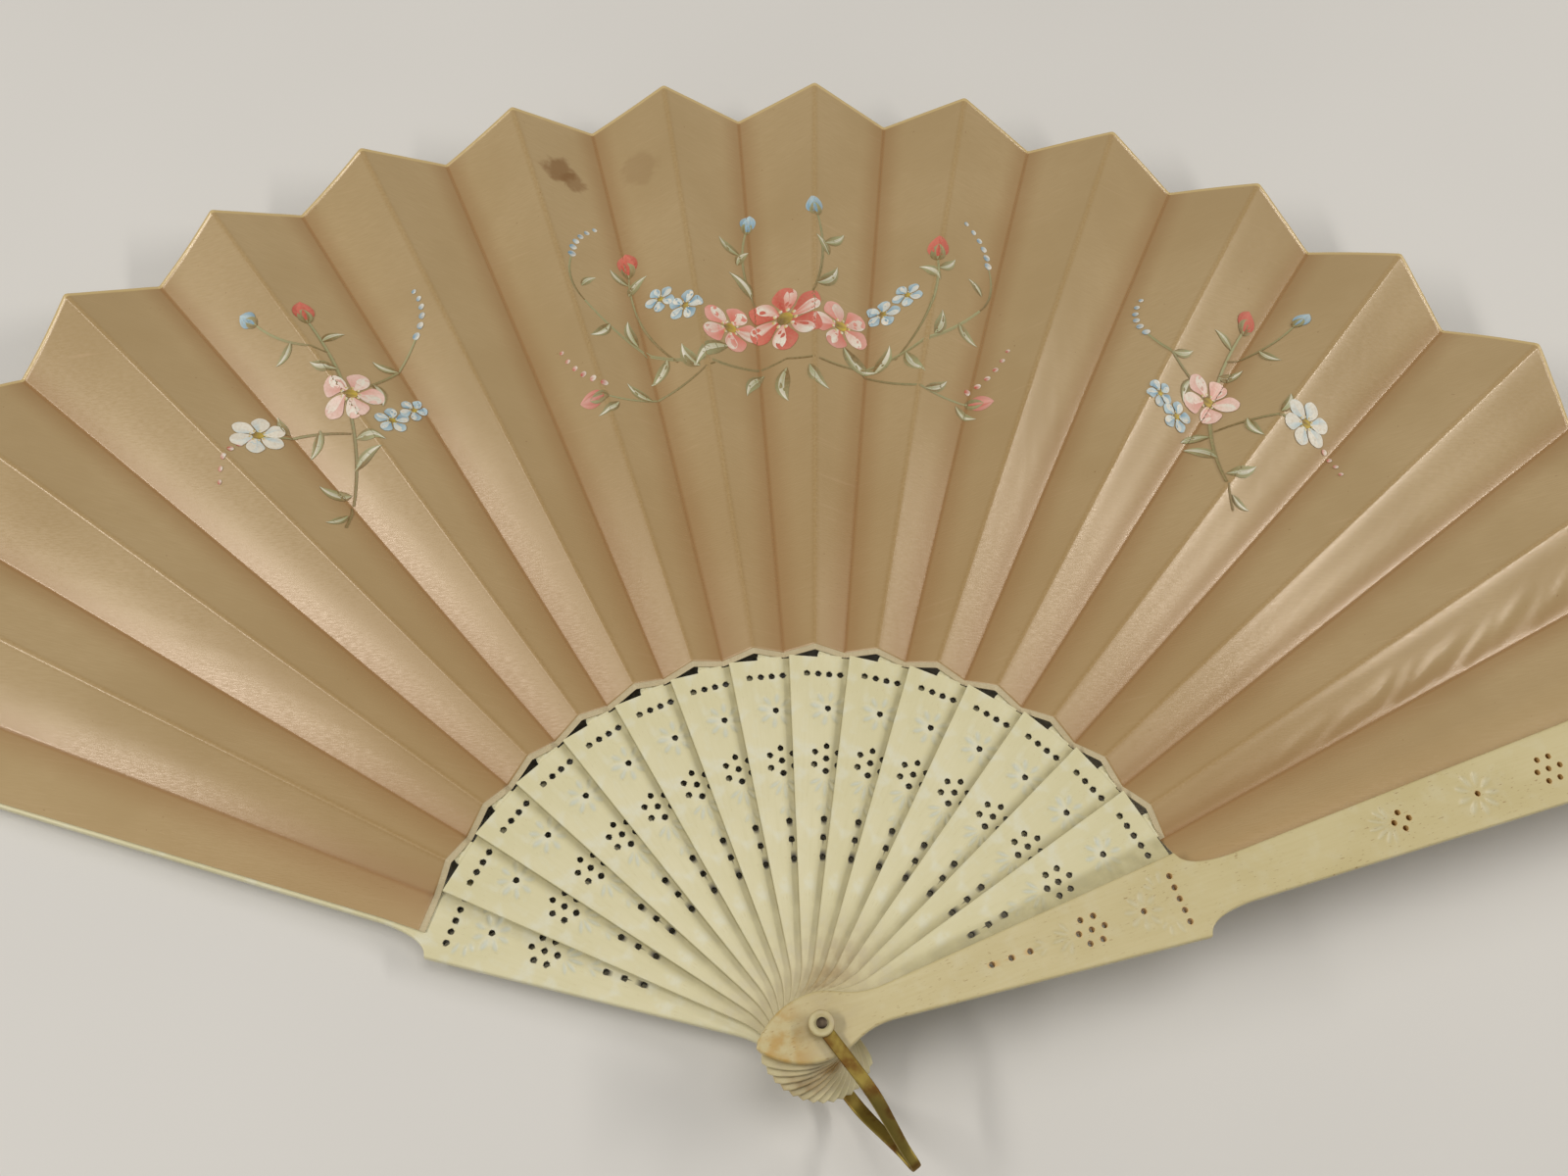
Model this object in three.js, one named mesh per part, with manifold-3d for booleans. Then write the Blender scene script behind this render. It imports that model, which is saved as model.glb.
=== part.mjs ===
// Open folding fan: pierced bone sticks on a rivet, carrying a pleated satin leaf.
// Millimetres. Z runs along the rivet towards the front of the leaf, Y along the middle of the fan.
import * as THREE from "three";
import { mergeVertices } from "three/addons/utils/BufferGeometryUtils.js";
import Module from "manifold-3d";

const wasm = await Module();
wasm.setup();

// Spread
const STICK_COUNT = 14; // inner sticks, between the two guards
const PITCH = 9.35; // degrees from one stick to the next when the fan is open
const FRONT_GUARD_LEAD = 2.4; // degrees that the front guard lies beyond the even spacing

// Leaf
const RIM_R = 280; // rivet to the rim on a mountain fold
const NOTCH_R = 275; // rivet to the rim on a valley fold
const LEAF_INNER_R = 94.5; // rivet to the leaf's lower edge
const RELIEF = 6.2; // how far a fold stands off the stick's plane at the rim
const CLOTH = 0.3; // satin and lining together
const FOLD_TRIM = 0.15; // from a fold line to the edge of the panel beside it
const GLUE_GAP = 0.2; // between a guard and the panel it carries

// Sticks
const STICK_T = 0.95;
const LAYER_GAP = 0.25; // between neighbours in the stack
const GORGE_R = 92; // rivet to the top of the pierced blade
const GORGE_HALF = 10.25; // half width at the top of the blade
const NECK_R = 17; // where the head's curve runs into the straight side of the blade
const NECK_HALF = 3.9;
const HEAD_R = 14.6; // rivet to the blunt end of the head
const HEAD_HALF = 7.4;
const HEAD_END_HALF = 0.8;
const SLIP_R = 268; // rivet to the end of the slip that carries the leaf
const SLIP_T = 0.4;
const SLIP_HALF = 2.2; // half width at the gorge
const SLIP_END_HALF = 1.7;
const SLIP_GAP = 0.15; // between a slip and the panel in front of it
const SLIP_ROOM = 0.1; // from the blade's corner circle to the start of the slip's turn
const SLIP_SET = 0.3; // from the end of the turn to the leaf's lower edge

// Guards
const GUARD_T = 2.4;
const GUARD_TIP_R = 284;
const GUARD_NOTCH_R = 104; // where the shoulder's hollow meets the upper blade
const GUARD_NOTCH_HALF = 5.8;
const GUARD_END_HALF = 12.2;
const GUARD_BORDER = 0.9; // guard left bare beside the panel it carries

// Piercing
const HOLE_R = 0.7;
const HOLE_SIDES = 6;
const ROW = { r: 87.4, count: 5, step: 2.75 };
const EYELET_R = 78.3;
const CLUSTER = { r: 65.2, ring: 3.2 };
const COLUMN = [50, 45.4, 40.7];
const GUARD_REPEAT = { first: 146, step: 62.5, flower: 21, cluster: 41, diamond: 2.0 };

// Rivet and hanging loop
const PIN_R = 1.05;
const PIN_HEAD_R = 1.35;
const PIN_HEAD_T = 0.5;
const PIN_CLEAR = 0.15; // all round the pin
const WASHER_R = 2.9;
const WASHER_T = 1.1;
const WASHER_EDGE = 0.3;
const SEAT = 0.05; // between the pieces clamped by the rivet
const LOOP_W = 3;
const LOOP_T = 1;
const LOOP_EYE_R = 2.6;
const LOOP_CLEAR = 0.6; // between the loop and a guard
const LOOP_R = 36;
const LOOP_AZIMUTH = 144; // degrees clockwise from the middle of the fan

// Derived sizes
const LAYER = STICK_T + LAYER_GAP;
const SPACES = STICK_COUNT + 1;
const FOLD_ANGLE = PITCH / 4; // from a panel's middle to either of its folds
const SLOPE = RELIEF / RIM_R;
const BORE_R = PIN_R + PIN_CLEAR;
const PANEL_SEAT = CLOTH / 2 + GLUE_GAP; // from a flat panel's middle to the face of its guard

// Heights up the rivet
const REAR_WASHER_Z = PIN_HEAD_T + SEAT;
const REAR_EYE_Z = REAR_WASHER_Z + WASHER_T + SEAT;
const REAR_GUARD_Z = REAR_EYE_Z + LOOP_T + LOOP_CLEAR + GUARD_T; // its front face
const FIRST_LAYER_Z = REAR_GUARD_Z + PANEL_SEAT - LAYER / 2; // middle of the rear guard's own layer
const layerZ = (i) => FIRST_LAYER_Z + i * LAYER;
const FRONT_GUARD_Z = layerZ(SPACES) - LAYER / 2 + PANEL_SEAT; // its back face
const FRONT_EYE_Z = FRONT_GUARD_Z + GUARD_T + LOOP_CLEAR;
const FRONT_WASHER_Z = FRONT_EYE_Z + LOOP_T + SEAT;
const FRONT_HEAD_Z = FRONT_WASHER_Z + WASHER_T + SEAT;

// Materials
const bone = new THREE.MeshStandardMaterial({ color: 0xd9d2ae, roughness: 0.5 });
const guardBone = new THREE.MeshStandardMaterial({ color: 0xcdbf92, roughness: 0.5 });
const satin = new THREE.MeshStandardMaterial({ color: 0xb8966e, roughness: 0.45, side: THREE.DoubleSide });
const brass = new THREE.MeshStandardMaterial({ color: 0x8c7d37, roughness: 0.4, metalness: 1 });
const steel = new THREE.MeshStandardMaterial({ color: 0x463c32, roughness: 0.5, metalness: 1 });

const radians = THREE.MathUtils.degToRad;
const { lerp, smoothstep } = THREE.MathUtils;

/** A point at radius r and azimuth degrees clockwise from +Y. */
function polar(r, azimuth, z) {
  return new THREE.Vector3(r * Math.sin(radians(azimuth)), r * Math.cos(radians(azimuth)), z);
}

function meshOf(name, geometry, material) {
  const mesh = new THREE.Mesh(geometry, material);
  mesh.name = name;
  return mesh;
}

/** A closed geometry as a solid that can be joined and cut. */
function solid(geometry) {
  const bare = geometry.clone();
  bare.deleteAttribute("normal");
  bare.deleteAttribute("uv");
  const merged = mergeVertices(bare, 1e-4);
  return new wasm.Manifold(
    new wasm.Mesh({
      numProp: 3,
      vertProperties: new Float32Array(merged.attributes.position.array),
      triVerts: new Uint32Array(merged.index.array),
    }),
  );
}

function geometryOf(body) {
  const mesh = body.getMesh();
  const geometry = new THREE.BufferGeometry();
  geometry.setAttribute("position", new THREE.BufferAttribute(mesh.vertProperties, 3));
  geometry.setIndex(new THREE.BufferAttribute(mesh.triVerts, 1));
  geometry.computeVertexNormals();
  return geometry;
}

/** A closed skin over rings of points that all have the same count, with flat ends. */
function loft(rings) {
  const sides = rings[0].length;
  const index = [];
  for (let k = 0; k + 1 < rings.length; k++) {
    for (let j = 0; j < sides; j++) {
      const a = k * sides + j;
      const b = k * sides + ((j + 1) % sides);
      index.push(a, b + sides, b, a, a + sides, b + sides);
    }
  }
  const last = (rings.length - 1) * sides;
  for (let j = 1; j + 1 < sides; j++) {
    index.push(0, j, j + 1, last, last + j + 1, last + j);
  }
  const geometry = new THREE.BufferGeometry().setFromPoints(rings.flat());
  geometry.setIndex(index);
  geometry.computeVertexNormals();
  return geometry;
}

/** A cloth panel between two edges, each a function of k from the inner edge (0) to the rim (1). */
function clothPanel(leftEdge, rightEdge, rows) {
  const rings = [];
  for (let row = 0; row <= rows; row++) {
    const k = row / rows;
    const left = leftEdge(k);
    const right = rightEdge(k);
    const across = right.clone().sub(left);
    const inset = across.clone().setLength(FOLD_TRIM);
    const along = leftEdge(Math.min(k + 0.01, 1)).sub(leftEdge(Math.max(k - 0.01, 0)));
    const half = across.clone().cross(along).setLength(CLOTH / 2);
    left.add(inset);
    right.sub(inset);
    rings.push([
      left.clone().sub(half),
      right.clone().sub(half),
      right.clone().add(half),
      left.clone().add(half),
    ]);
  }
  return loft(rings);
}

/** A fold line, seen from the stick whose layer height is 0. */
function foldLine(azimuth, apexZ, slope, rimR) {
  return (k) => {
    const r = lerp(LEAF_INNER_R, rimR, k);
    return polar(r, azimuth, apexZ + slope * r);
  };
}

// A stick's own folds: the mountain on its left and the valley on its right
const mountain = foldLine(-FOLD_ANGLE, -LAYER / 2, SLOPE, RIM_R);
const valley = foldLine(FOLD_ANGLE, LAYER / 2, -SLOPE, NOTCH_R);
const nextMountain = foldLine(3 * FOLD_ANGLE, LAYER / 2, SLOPE, RIM_R);

/** Tilt of a glued panel at radius r, in radians, down towards its valley. */
function panelTilt(r) {
  return Math.atan2(SLOPE * r - LAYER / 2, r * Math.sin(radians(FOLD_ANGLE)));
}

function hole(x, y) {
  const points = [];
  for (let j = 0; j < HOLE_SIDES; j++) {
    const a = (2 * Math.PI * j) / HOLE_SIDES;
    points.push(new THREE.Vector2(x + HOLE_R * Math.cos(a), y + HOLE_R * Math.sin(a)));
  }
  return new THREE.Path(points).closePath();
}

function cluster(y) {
  const holes = [hole(0, y)];
  for (let j = 0; j < 6; j++) {
    const a = radians(60 * j + 30);
    holes.push(hole(CLUSTER.ring * Math.cos(a), y + CLUSTER.ring * Math.sin(a)));
  }
  return holes;
}

/** The piercing that every blade has below the leaf. */
function gorgeHoles() {
  const holes = [hole(0, EYELET_R), ...cluster(CLUSTER.r), ...COLUMN.map((y) => hole(0, y))];
  for (let j = 0; j < ROW.count; j++) {
    holes.push(hole((j - (ROW.count - 1) / 2) * ROW.step, ROW.r));
  }
  return holes;
}

/** The repeating piercing of a guard's upper blade. */
function guardHoles() {
  const holes = [];
  const { first, step, flower, cluster: ring, diamond } = GUARD_REPEAT;
  for (let y = first; y + ring < GUARD_TIP_R - 2 * HEAD_R; y += step) {
    holes.push(hole(-diamond, y), hole(diamond, y), hole(0, y - diamond), hole(0, y + diamond));
    holes.push(hole(0, y + flower), ...cluster(y + ring));
  }
  return holes;
}

/** The right half of the head, from its blunt end round its widest place and into the blade's side. */
function headCurve(shape) {
  const flare = (GORGE_HALF - NECK_HALF) / (GORGE_R - NECK_R);
  shape.moveTo(0, -HEAD_R);
  shape.lineTo(HEAD_END_HALF, -HEAD_R);
  shape.quadraticCurveTo(HEAD_HALF, -HEAD_R * 0.57, HEAD_HALF, 0);
  const bend = NECK_R * 0.45;
  shape.bezierCurveTo(HEAD_HALF, NECK_R * 0.33, NECK_HALF - flare * (NECK_R - bend), bend, NECK_HALF, NECK_R);
  return shape;
}

/** A closed outline from its right half, with round bore and piercing. */
function symmetricShape(rightHalf, holes, segments) {
  const right = rightHalf.getPoints(segments);
  const left = right.filter((p) => p.x > 1e-6).map((p) => new THREE.Vector2(-p.x, p.y));
  const shape = new THREE.Shape([...right, ...left.reverse()]);
  const bore = new THREE.Path().absarc(0, 0, BORE_R, 0, 2 * Math.PI);
  shape.holes.push(new THREE.Path(bore.getPoints(6).slice(0, -1)), ...holes);
  return shape;
}

function plate(shape, thickness) {
  return new THREE.ExtrudeGeometry(shape, { depth: thickness, bevelEnabled: false, curveSegments: 4 });
}

/** The slip above a blade: flat within the blade, then turned to lie behind its panel. */
function slip() {
  const start = GORGE_R - 3;
  const from = Math.hypot(GORGE_R, GORGE_HALF) + SLIP_ROOM;
  const to = LEAF_INNER_R - SLIP_SET;
  const turn = [0, 0.25, 0.5, 0.75, 1].map((k) => lerp(from, to, k));
  const rest = [0.03, 0.1, 0.2, 0.36, 0.56, 0.78, 1].map((k) => lerp(to, SLIP_R, k));
  const rings = [start, ...turn, ...rest].map((r) => {
    const share = smoothstep(r, from, to);
    const tilt = panelTilt(Math.max(r, LEAF_INNER_R)) * share;
    const half = lerp(SLIP_HALF, SLIP_END_HALF, (r - start) / (SLIP_R - start));
    const drop = (share * (CLOTH / 2 + SLIP_GAP + SLIP_T / 2)) / Math.cos(tilt);
    const side = new THREE.Vector3(Math.cos(tilt), 0, -Math.sin(tilt)).multiplyScalar(half);
    const up = new THREE.Vector3(Math.sin(tilt), 0, Math.cos(tilt)).multiplyScalar(SLIP_T / 2);
    const middle = new THREE.Vector3(0, r, -drop);
    return [
      middle.clone().sub(side).sub(up),
      middle.clone().add(side).sub(up),
      middle.clone().add(side).add(up),
      middle.clone().sub(side).add(up),
    ];
  });
  return loft(rings);
}

/** One inner stick along +Y, its blade centred on z = 0. */
function stickGeometry() {
  const half = headCurve(new THREE.Path());
  half.lineTo(GORGE_HALF, GORGE_R);
  const blade = plate(symmetricShape(half, gorgeHoles(), 4), STICK_T).translate(0, 0, -STICK_T / 2);
  return geometryOf(solid(blade).add(solid(slip())));
}

/** One guard along +Y, from z = 0 to its thickness. */
function guardGeometry() {
  const half = headCurve(new THREE.Path());
  half.lineTo(GORGE_HALF, GORGE_R - 1);
  half.quadraticCurveTo(GUARD_NOTCH_HALF, GORGE_R, GUARD_NOTCH_HALF, GUARD_NOTCH_R);
  half.lineTo(GUARD_END_HALF, GUARD_TIP_R - GUARD_END_HALF * 0.7);
  half.quadraticCurveTo(GUARD_END_HALF * 0.95, GUARD_TIP_R, 0, GUARD_TIP_R);
  return plate(symmetricShape(half, [...gorgeHoles(), ...guardHoles()], 5), GUARD_T);
}

/** Half width of a guard's upper blade at radius r. */
function guardHalf(r) {
  const k = (r - GUARD_NOTCH_R) / (GUARD_TIP_R - GUARD_END_HALF * 0.7 - GUARD_NOTCH_R);
  return lerp(GUARD_NOTCH_HALF, GUARD_END_HALF, k);
}

/** The edge of a panel that stops short of its guard's edge, on the side given as -1 or 1. */
function guardEdge(side, azimuth, apexZ, slope, rimR) {
  return (k) => {
    const r = lerp(LEAF_INNER_R, rimR, k);
    const x = side * (guardHalf(r) - GUARD_BORDER);
    const point = new THREE.Vector3(x, Math.sqrt(r * r - x * x), apexZ + slope * r);
    return point.applyAxisAngle(new THREE.Vector3(0, 0, 1), -radians(azimuth));
  };
}

/** A solid of revolution about Z from points given as [radius, height]. */
function turned(points, segments) {
  const profile = points.map(([r, z]) => new THREE.Vector2(r, z));
  return new THREE.LatheGeometry(profile, segments).rotateX(Math.PI / 2);
}

function washer(z, edge) {
  const ring = [
    [BORE_R, 0],
    [WASHER_R, 0],
    [WASHER_R, WASHER_T - edge],
    [WASHER_R - edge, WASHER_T],
    [BORE_R, WASHER_T],
    [BORE_R, 0],
  ];
  return turned(ring, 24).translate(0, 0, z);
}

function pin() {
  const top = FRONT_HEAD_Z + PIN_HEAD_T;
  return turned(
    [
      [0, 0],
      [PIN_HEAD_R, 0],
      [PIN_HEAD_R, PIN_HEAD_T],
      [PIN_R, PIN_HEAD_T],
      [PIN_R, FRONT_HEAD_Z],
      [PIN_HEAD_R, FRONT_HEAD_Z],
      [PIN_HEAD_R, top],
      [0, top],
    ],
    16,
  );
}

/** The strap that hangs from the rivet along +Y, bent round the heads to a narrow end. */
function hangingLoop() {
  const high = FRONT_EYE_Z + LOOP_T / 2;
  const low = REAR_EYE_Z + LOOP_T / 2;
  const middle = (high + low) / 2;
  const reach = (high - low) / 2;
  // Radius, and height as a share of half the loop's opening
  const bend = [
    [0, 1], [7, 1], [14, 1], [17.5, 0.97], [20.5, 0.84], [24.5, 0.58],
    [LOOP_R - 8, 0.36], [LOOP_R - 5.5, 0.21], [LOOP_R - 3.5, 0.15], [LOOP_R - 1.5, 0.12],
  ];
  const front = bend.map(([r, k]) => new THREE.Vector2(r, middle + k * reach));
  const rear = bend.map(([r, k]) => new THREE.Vector2(r, middle - k * reach)).reverse();
  const path = new THREE.SplineCurve([...front, new THREE.Vector2(LOOP_R - LOOP_T / 2, middle), ...rear]);
  const count = 44;
  const outer = [];
  const inner = [];
  for (let j = 0; j <= count; j++) {
    const point = path.getPoint(j / count);
    const tangent = path.getTangent(j / count);
    const normal = new THREE.Vector2(-tangent.y, tangent.x).multiplyScalar(LOOP_T / 2);
    outer.push(point.clone().add(normal));
    inner.push(point.clone().sub(normal));
  }
  const strap = plate(new THREE.Shape([...outer, ...inner.reverse()]), LOOP_W)
    .translate(0, 0, -LOOP_W / 2)
    .applyMatrix4(
      new THREE.Matrix4().makeBasis(
        new THREE.Vector3(0, 1, 0),
        new THREE.Vector3(0, 0, 1),
        new THREE.Vector3(1, 0, 0),
      ),
    );
  const eye = (z) =>
    solid(new THREE.CylinderGeometry(LOOP_EYE_R, LOOP_EYE_R, LOOP_T, 20).rotateX(Math.PI / 2).translate(0, 0, z));
  const bore = new THREE.CylinderGeometry(BORE_R, BORE_R, 4 * reach, 16).rotateX(Math.PI / 2);
  return geometryOf(
    solid(strap).add(eye(high)).add(eye(low)).subtract(solid(bore.translate(0, 0, middle))),
  );
}

const stick = stickGeometry();
const guard = guardGeometry();
const gluedPanel = clothPanel(mountain, valley, 6);
const freePanel = clothPanel(valley, nextMountain, 1);
const rearPanel = clothPanel(guardEdge(-1, 0, LAYER / 2, -SLOPE, NOTCH_R), valley, 3);
const frontPanel = clothPanel(mountain, guardEdge(1, FRONT_GUARD_LEAD, -LAYER / 2, SLOPE, NOTCH_R), 3);

const fan = new THREE.Group();
const two = (i) => String(i).padStart(2, "0");

for (let i = 0; i <= SPACES; i++) {
  const layer = new THREE.Group();
  layer.position.z = layerZ(i);
  layer.rotation.z = -radians((i - SPACES / 2) * PITCH);
  if (i === 0) {
    const rear = meshOf("rear_guard", guard, guardBone);
    rear.rotation.x = -Math.atan(SLOPE);
    rear.position.z = REAR_GUARD_Z - GUARD_T - layerZ(0);
    layer.add(rear, meshOf("leaf_panel_00", rearPanel, satin));
  } else if (i === SPACES) {
    const front = meshOf("front_guard", guard, guardBone);
    front.rotation.set(Math.atan(SLOPE), 0, -radians(FRONT_GUARD_LEAD), "ZXY");
    front.position.z = FRONT_GUARD_Z - layerZ(SPACES);
    layer.add(front, meshOf(`leaf_panel_${two(i)}`, frontPanel, satin));
  } else {
    layer.add(meshOf(`stick_${two(i)}`, stick, bone), meshOf(`leaf_panel_${two(i)}`, gluedPanel, satin));
  }
  if (i < SPACES) layer.add(meshOf(`leaf_pleat_${two(i)}`, freePanel, satin));
  fan.add(layer);
}

const loop = meshOf("hanging_loop", hangingLoop(), brass);
loop.rotation.z = -radians(LOOP_AZIMUTH);
fan.add(
  loop,
  meshOf("rivet_pin", pin(), steel),
  meshOf("front_washer", washer(FRONT_WASHER_Z, WASHER_EDGE), bone),
  meshOf("rear_washer", washer(REAR_WASHER_Z, 0), bone),
);

export default fan;
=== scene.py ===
"""Studio scene of an open folding fan: pierced bone sticks, a painted satin leaf, a rivet and a brass loop.

Sizes are millimetres and degrees until a mesh is written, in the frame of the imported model: Z runs up the
rivet, Y along the middle of the fan, and azimuths are clockwise from Y.
"""

import logging
import math
from dataclasses import dataclass, field
from enum import Enum

import bmesh
import bpy
import numpy as np
from mathutils import Matrix, Vector

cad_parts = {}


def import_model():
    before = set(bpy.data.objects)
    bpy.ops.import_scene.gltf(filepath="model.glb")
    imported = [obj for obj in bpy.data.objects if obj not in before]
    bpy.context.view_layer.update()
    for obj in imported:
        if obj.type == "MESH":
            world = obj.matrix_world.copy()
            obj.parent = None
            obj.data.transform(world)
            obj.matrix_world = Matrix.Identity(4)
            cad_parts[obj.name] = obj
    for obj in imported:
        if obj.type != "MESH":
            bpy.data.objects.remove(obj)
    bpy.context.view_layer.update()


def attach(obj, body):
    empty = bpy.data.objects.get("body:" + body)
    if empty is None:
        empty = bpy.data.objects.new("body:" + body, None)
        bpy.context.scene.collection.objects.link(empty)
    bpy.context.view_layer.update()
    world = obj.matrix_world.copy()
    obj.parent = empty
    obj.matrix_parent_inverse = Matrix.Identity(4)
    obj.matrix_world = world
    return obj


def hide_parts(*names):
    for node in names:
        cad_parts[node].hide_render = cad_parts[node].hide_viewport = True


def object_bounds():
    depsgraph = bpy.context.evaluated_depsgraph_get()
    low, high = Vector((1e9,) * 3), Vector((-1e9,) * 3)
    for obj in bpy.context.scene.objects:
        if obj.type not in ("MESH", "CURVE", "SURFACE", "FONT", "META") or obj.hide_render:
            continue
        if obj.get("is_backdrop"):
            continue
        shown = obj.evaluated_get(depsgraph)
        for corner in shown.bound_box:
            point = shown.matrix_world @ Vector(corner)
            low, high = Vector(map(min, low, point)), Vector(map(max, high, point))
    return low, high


MM = 0.001
Array = np.ndarray
Colour = tuple[float, float, float, float]
Material = bpy.types.Material
Mesh = bpy.types.Mesh
Piece = bpy.types.Object
Socket = bpy.types.NodeSocket
BONE_MARKS = ("carve", "hole", "grime", "head", "lap_soil_and_shadow")
BORE = 1.2
HEAD_END = -14.6
log = logging.getLogger("fan")


def srgb(red: int, green: int, blue: int) -> Colour:
    """The linear colour of a screen colour whose parts run from 0 to 255.

    Args:
        red: the red part.
        green: the green part.
        blue: the blue part.

    Returns:
        Linear red, green and blue, and full cover.
    """
    parts = np.array([red, green, blue]) / 255.0
    linear = np.where(parts <= 0.04045, parts / 12.92, ((parts + 0.055) / 1.055) ** 2.4)
    return (*(float(x) for x in linear), 1.0)


def smooth(value: Array, low: float, high: float) -> Array:
    """A smooth step from 0 at low to 1 at high."""
    t = np.clip((value - low) / (high - low), 0.0, 1.0)
    return t * t * (3.0 - 2.0 * t)


def bezier(controls: Array, count: int) -> Array:
    """Evenly stepped points of a curve that is drawn towards each of its control points in turn.

    Args:
        controls: the control points, one row each.
        count: how many points to give.

    Returns:
        The points, one row each.
    """
    points = np.asarray(controls, dtype=float)
    degree = len(points) - 1
    t = np.linspace(0.0, 1.0, count)[:, None]
    k = np.arange(degree + 1)
    weight = np.array([math.comb(degree, j) for j in k])
    return (weight * t**k * (1 - t) ** (degree - k)) @ points


def squared(values: Array, power: float) -> Array:
    """Values from -1 to 1 drawn to either end by a power, which makes a round section a rounded strip."""
    return np.sign(values) * np.abs(values) ** power


def heading(angle: float) -> Array:
    """The flat direction at an angle in radians, clockwise from Y."""
    return np.array([math.sin(angle), math.cos(angle)])


@dataclass(frozen=True)
class FanSizes:
    """The fan's driving sizes, those of its solid model apart from the leaf's lower edge and its band."""

    spaces: int = 15
    pitch: float = 9.35
    lead: float = 2.4
    rim: float = 280.0
    notch: float = 275.0
    inner: float = 94.5
    high_edge: float = 93.7
    low_edge: float = 93.1
    band: float = 1.5
    relief: float = 6.2
    cloth: float = 0.3
    layer: float = 1.2
    first_layer: float = 5.45
    stick_t: float = 0.95
    gorge: float = 92.0
    gorge_half: float = 10.25
    guard_t: float = 2.4
    guard_tip: float = 284.0
    tip_round: float = 8.54
    tip_half: float = 12.2
    shoulder: float = 104.0
    waist_half: float = 5.8
    rear_guard_z: float = 5.7
    front_guard_z: float = 23.2

    @property
    def slope(self) -> float:
        """Rise of a mountain fold for each millimetre of radius."""
        return self.relief / self.rim

    @property
    def fold(self) -> float:
        """Degrees from the middle of a glued panel to either of its folds."""
        return self.pitch / 4

    def azimuth(self, layer: int) -> float:
        """Azimuth of a stick, counted from the rear guard."""
        return (layer - self.spaces / 2) * self.pitch

    def height(self, layer: int) -> float:
        """Height of a stick's middle plane."""
        return self.first_layer + layer * self.layer

    def place(self, layer: int) -> Matrix:
        """The turn and lift, in metres, that takes a stick from the Y axis to its layer."""
        turn = Matrix.Rotation(-math.radians(self.azimuth(layer)), 4, "Z")
        return Matrix.Translation((0, 0, self.height(layer) * MM)) @ turn

    def guard_half(self, r: Array) -> Array:
        """Half width of a guard's upper blade at radius r."""
        straight = [self.shoulder, self.guard_tip - self.tip_round]
        return np.interp(r, straight, [self.waist_half, self.tip_half])


def polar(r: Array, azimuth: float, z: Array) -> Array:
    """Points at radius r and one azimuth."""
    a = math.radians(azimuth)
    return np.stack([r * math.sin(a), r * math.cos(a), z], axis=-1)


def turned(points: Array, azimuth: float) -> Array:
    """Points turned clockwise about Z.

    Args:
        points: places whose last axis is x, y and z.
        azimuth: degrees to turn by.

    Returns:
        The turned points.
    """
    a = math.radians(azimuth)
    x, y, z = points[..., 0], points[..., 1], points[..., 2]
    return np.stack([x * math.cos(a) + y * math.sin(a), y * math.cos(a) - x * math.sin(a), z], axis=-1)


def grid_quads(index: Array) -> Array:
    """Quads between neighbours in a grid of point numbers, or in a stack of such grids."""
    corners = [index[..., :-1, :-1], index[..., :-1, 1:], index[..., 1:, 1:], index[..., 1:, :-1]]
    return np.stack(corners, axis=-1).reshape(-1, 4)


def sheet_quads(rows: int, cols: int) -> Array:
    """Quads of a closed sheet: a front grid, a back grid behind it, and walls round their common edge.

    Args:
        rows: the rows of each grid.
        cols: the points in a row.

    Returns:
        Four point numbers for each quad, with the back's points after the front's.
    """
    index = np.arange(rows * cols).reshape(rows, cols)
    front = grid_quads(index)
    edge = np.concatenate([index[0], index[1:, -1], index[-1, -2::-1], index[-2:0:-1, 0]])
    after = np.roll(edge, -1)
    walls = np.stack([after, edge, edge + rows * cols, after + rows * cols], axis=-1)
    return np.concatenate([front, front[:, ::-1] + rows * cols, walls])


def tube_quads(rows: int, sides: int) -> Array:
    """Quads of a skin over rings of points, closed round each ring.

    Args:
        rows: how many rings there are.
        sides: the points in a ring.

    Returns:
        Four point numbers for each quad.
    """
    index = np.arange(rows * sides).reshape(rows, sides)
    after = np.roll(index, -1, axis=1)
    return np.stack([index[:-1], after[:-1], after[1:], index[1:]], axis=-1).reshape(-1, 4)


def write_mesh(name: str, points: Array, quads: Array, sharp: float = 35.0) -> Mesh:
    """A mesh from whole arrays.

    Args:
        name: the mesh's name.
        points: millimetre points, one row each.
        quads: four point numbers for each face.
        sharp: edges that bend by more degrees than this are shaded sharp.

    Returns:
        The new mesh, in metres.
    """
    mesh = bpy.data.meshes.new(name)
    mesh.vertices.add(len(points))
    mesh.vertices.foreach_set("co", (points * MM).astype(np.float32).ravel())
    mesh.loops.add(quads.size)
    mesh.loops.foreach_set("vertex_index", quads.astype(np.int32).ravel())
    mesh.polygons.add(len(quads))
    mesh.polygons.foreach_set("loop_start", np.arange(0, quads.size, 4, dtype=np.int32))
    mesh.update(calc_edges=True)
    mesh.validate()
    shade(mesh, sharp)
    return mesh


def shade(mesh: Mesh, sharp: float) -> None:
    """Smooth shading, broken at edges that bend by more degrees than sharp.

    Args:
        mesh: the mesh to shade.
        sharp: the limit in degrees.
    """
    mesh.polygons.foreach_set("use_smooth", np.ones(len(mesh.polygons), dtype=bool))
    mesh.set_sharp_from_angle(angle=math.radians(sharp))
    mesh.update()


def close_up(mesh: Mesh, gap: float = 1e-3) -> None:
    """Merges doubled points nearer than gap millimetres and turns every face outwards.

    Args:
        mesh: the mesh to mend.
        gap: the limit in millimetres.
    """
    work = bmesh.new()
    work.from_mesh(mesh)
    bmesh.ops.remove_doubles(work, verts=work.verts, dist=gap * MM)
    bmesh.ops.recalc_face_normals(work, faces=work.faces)
    work.to_mesh(mesh)
    work.free()
    mesh.update()


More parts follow.
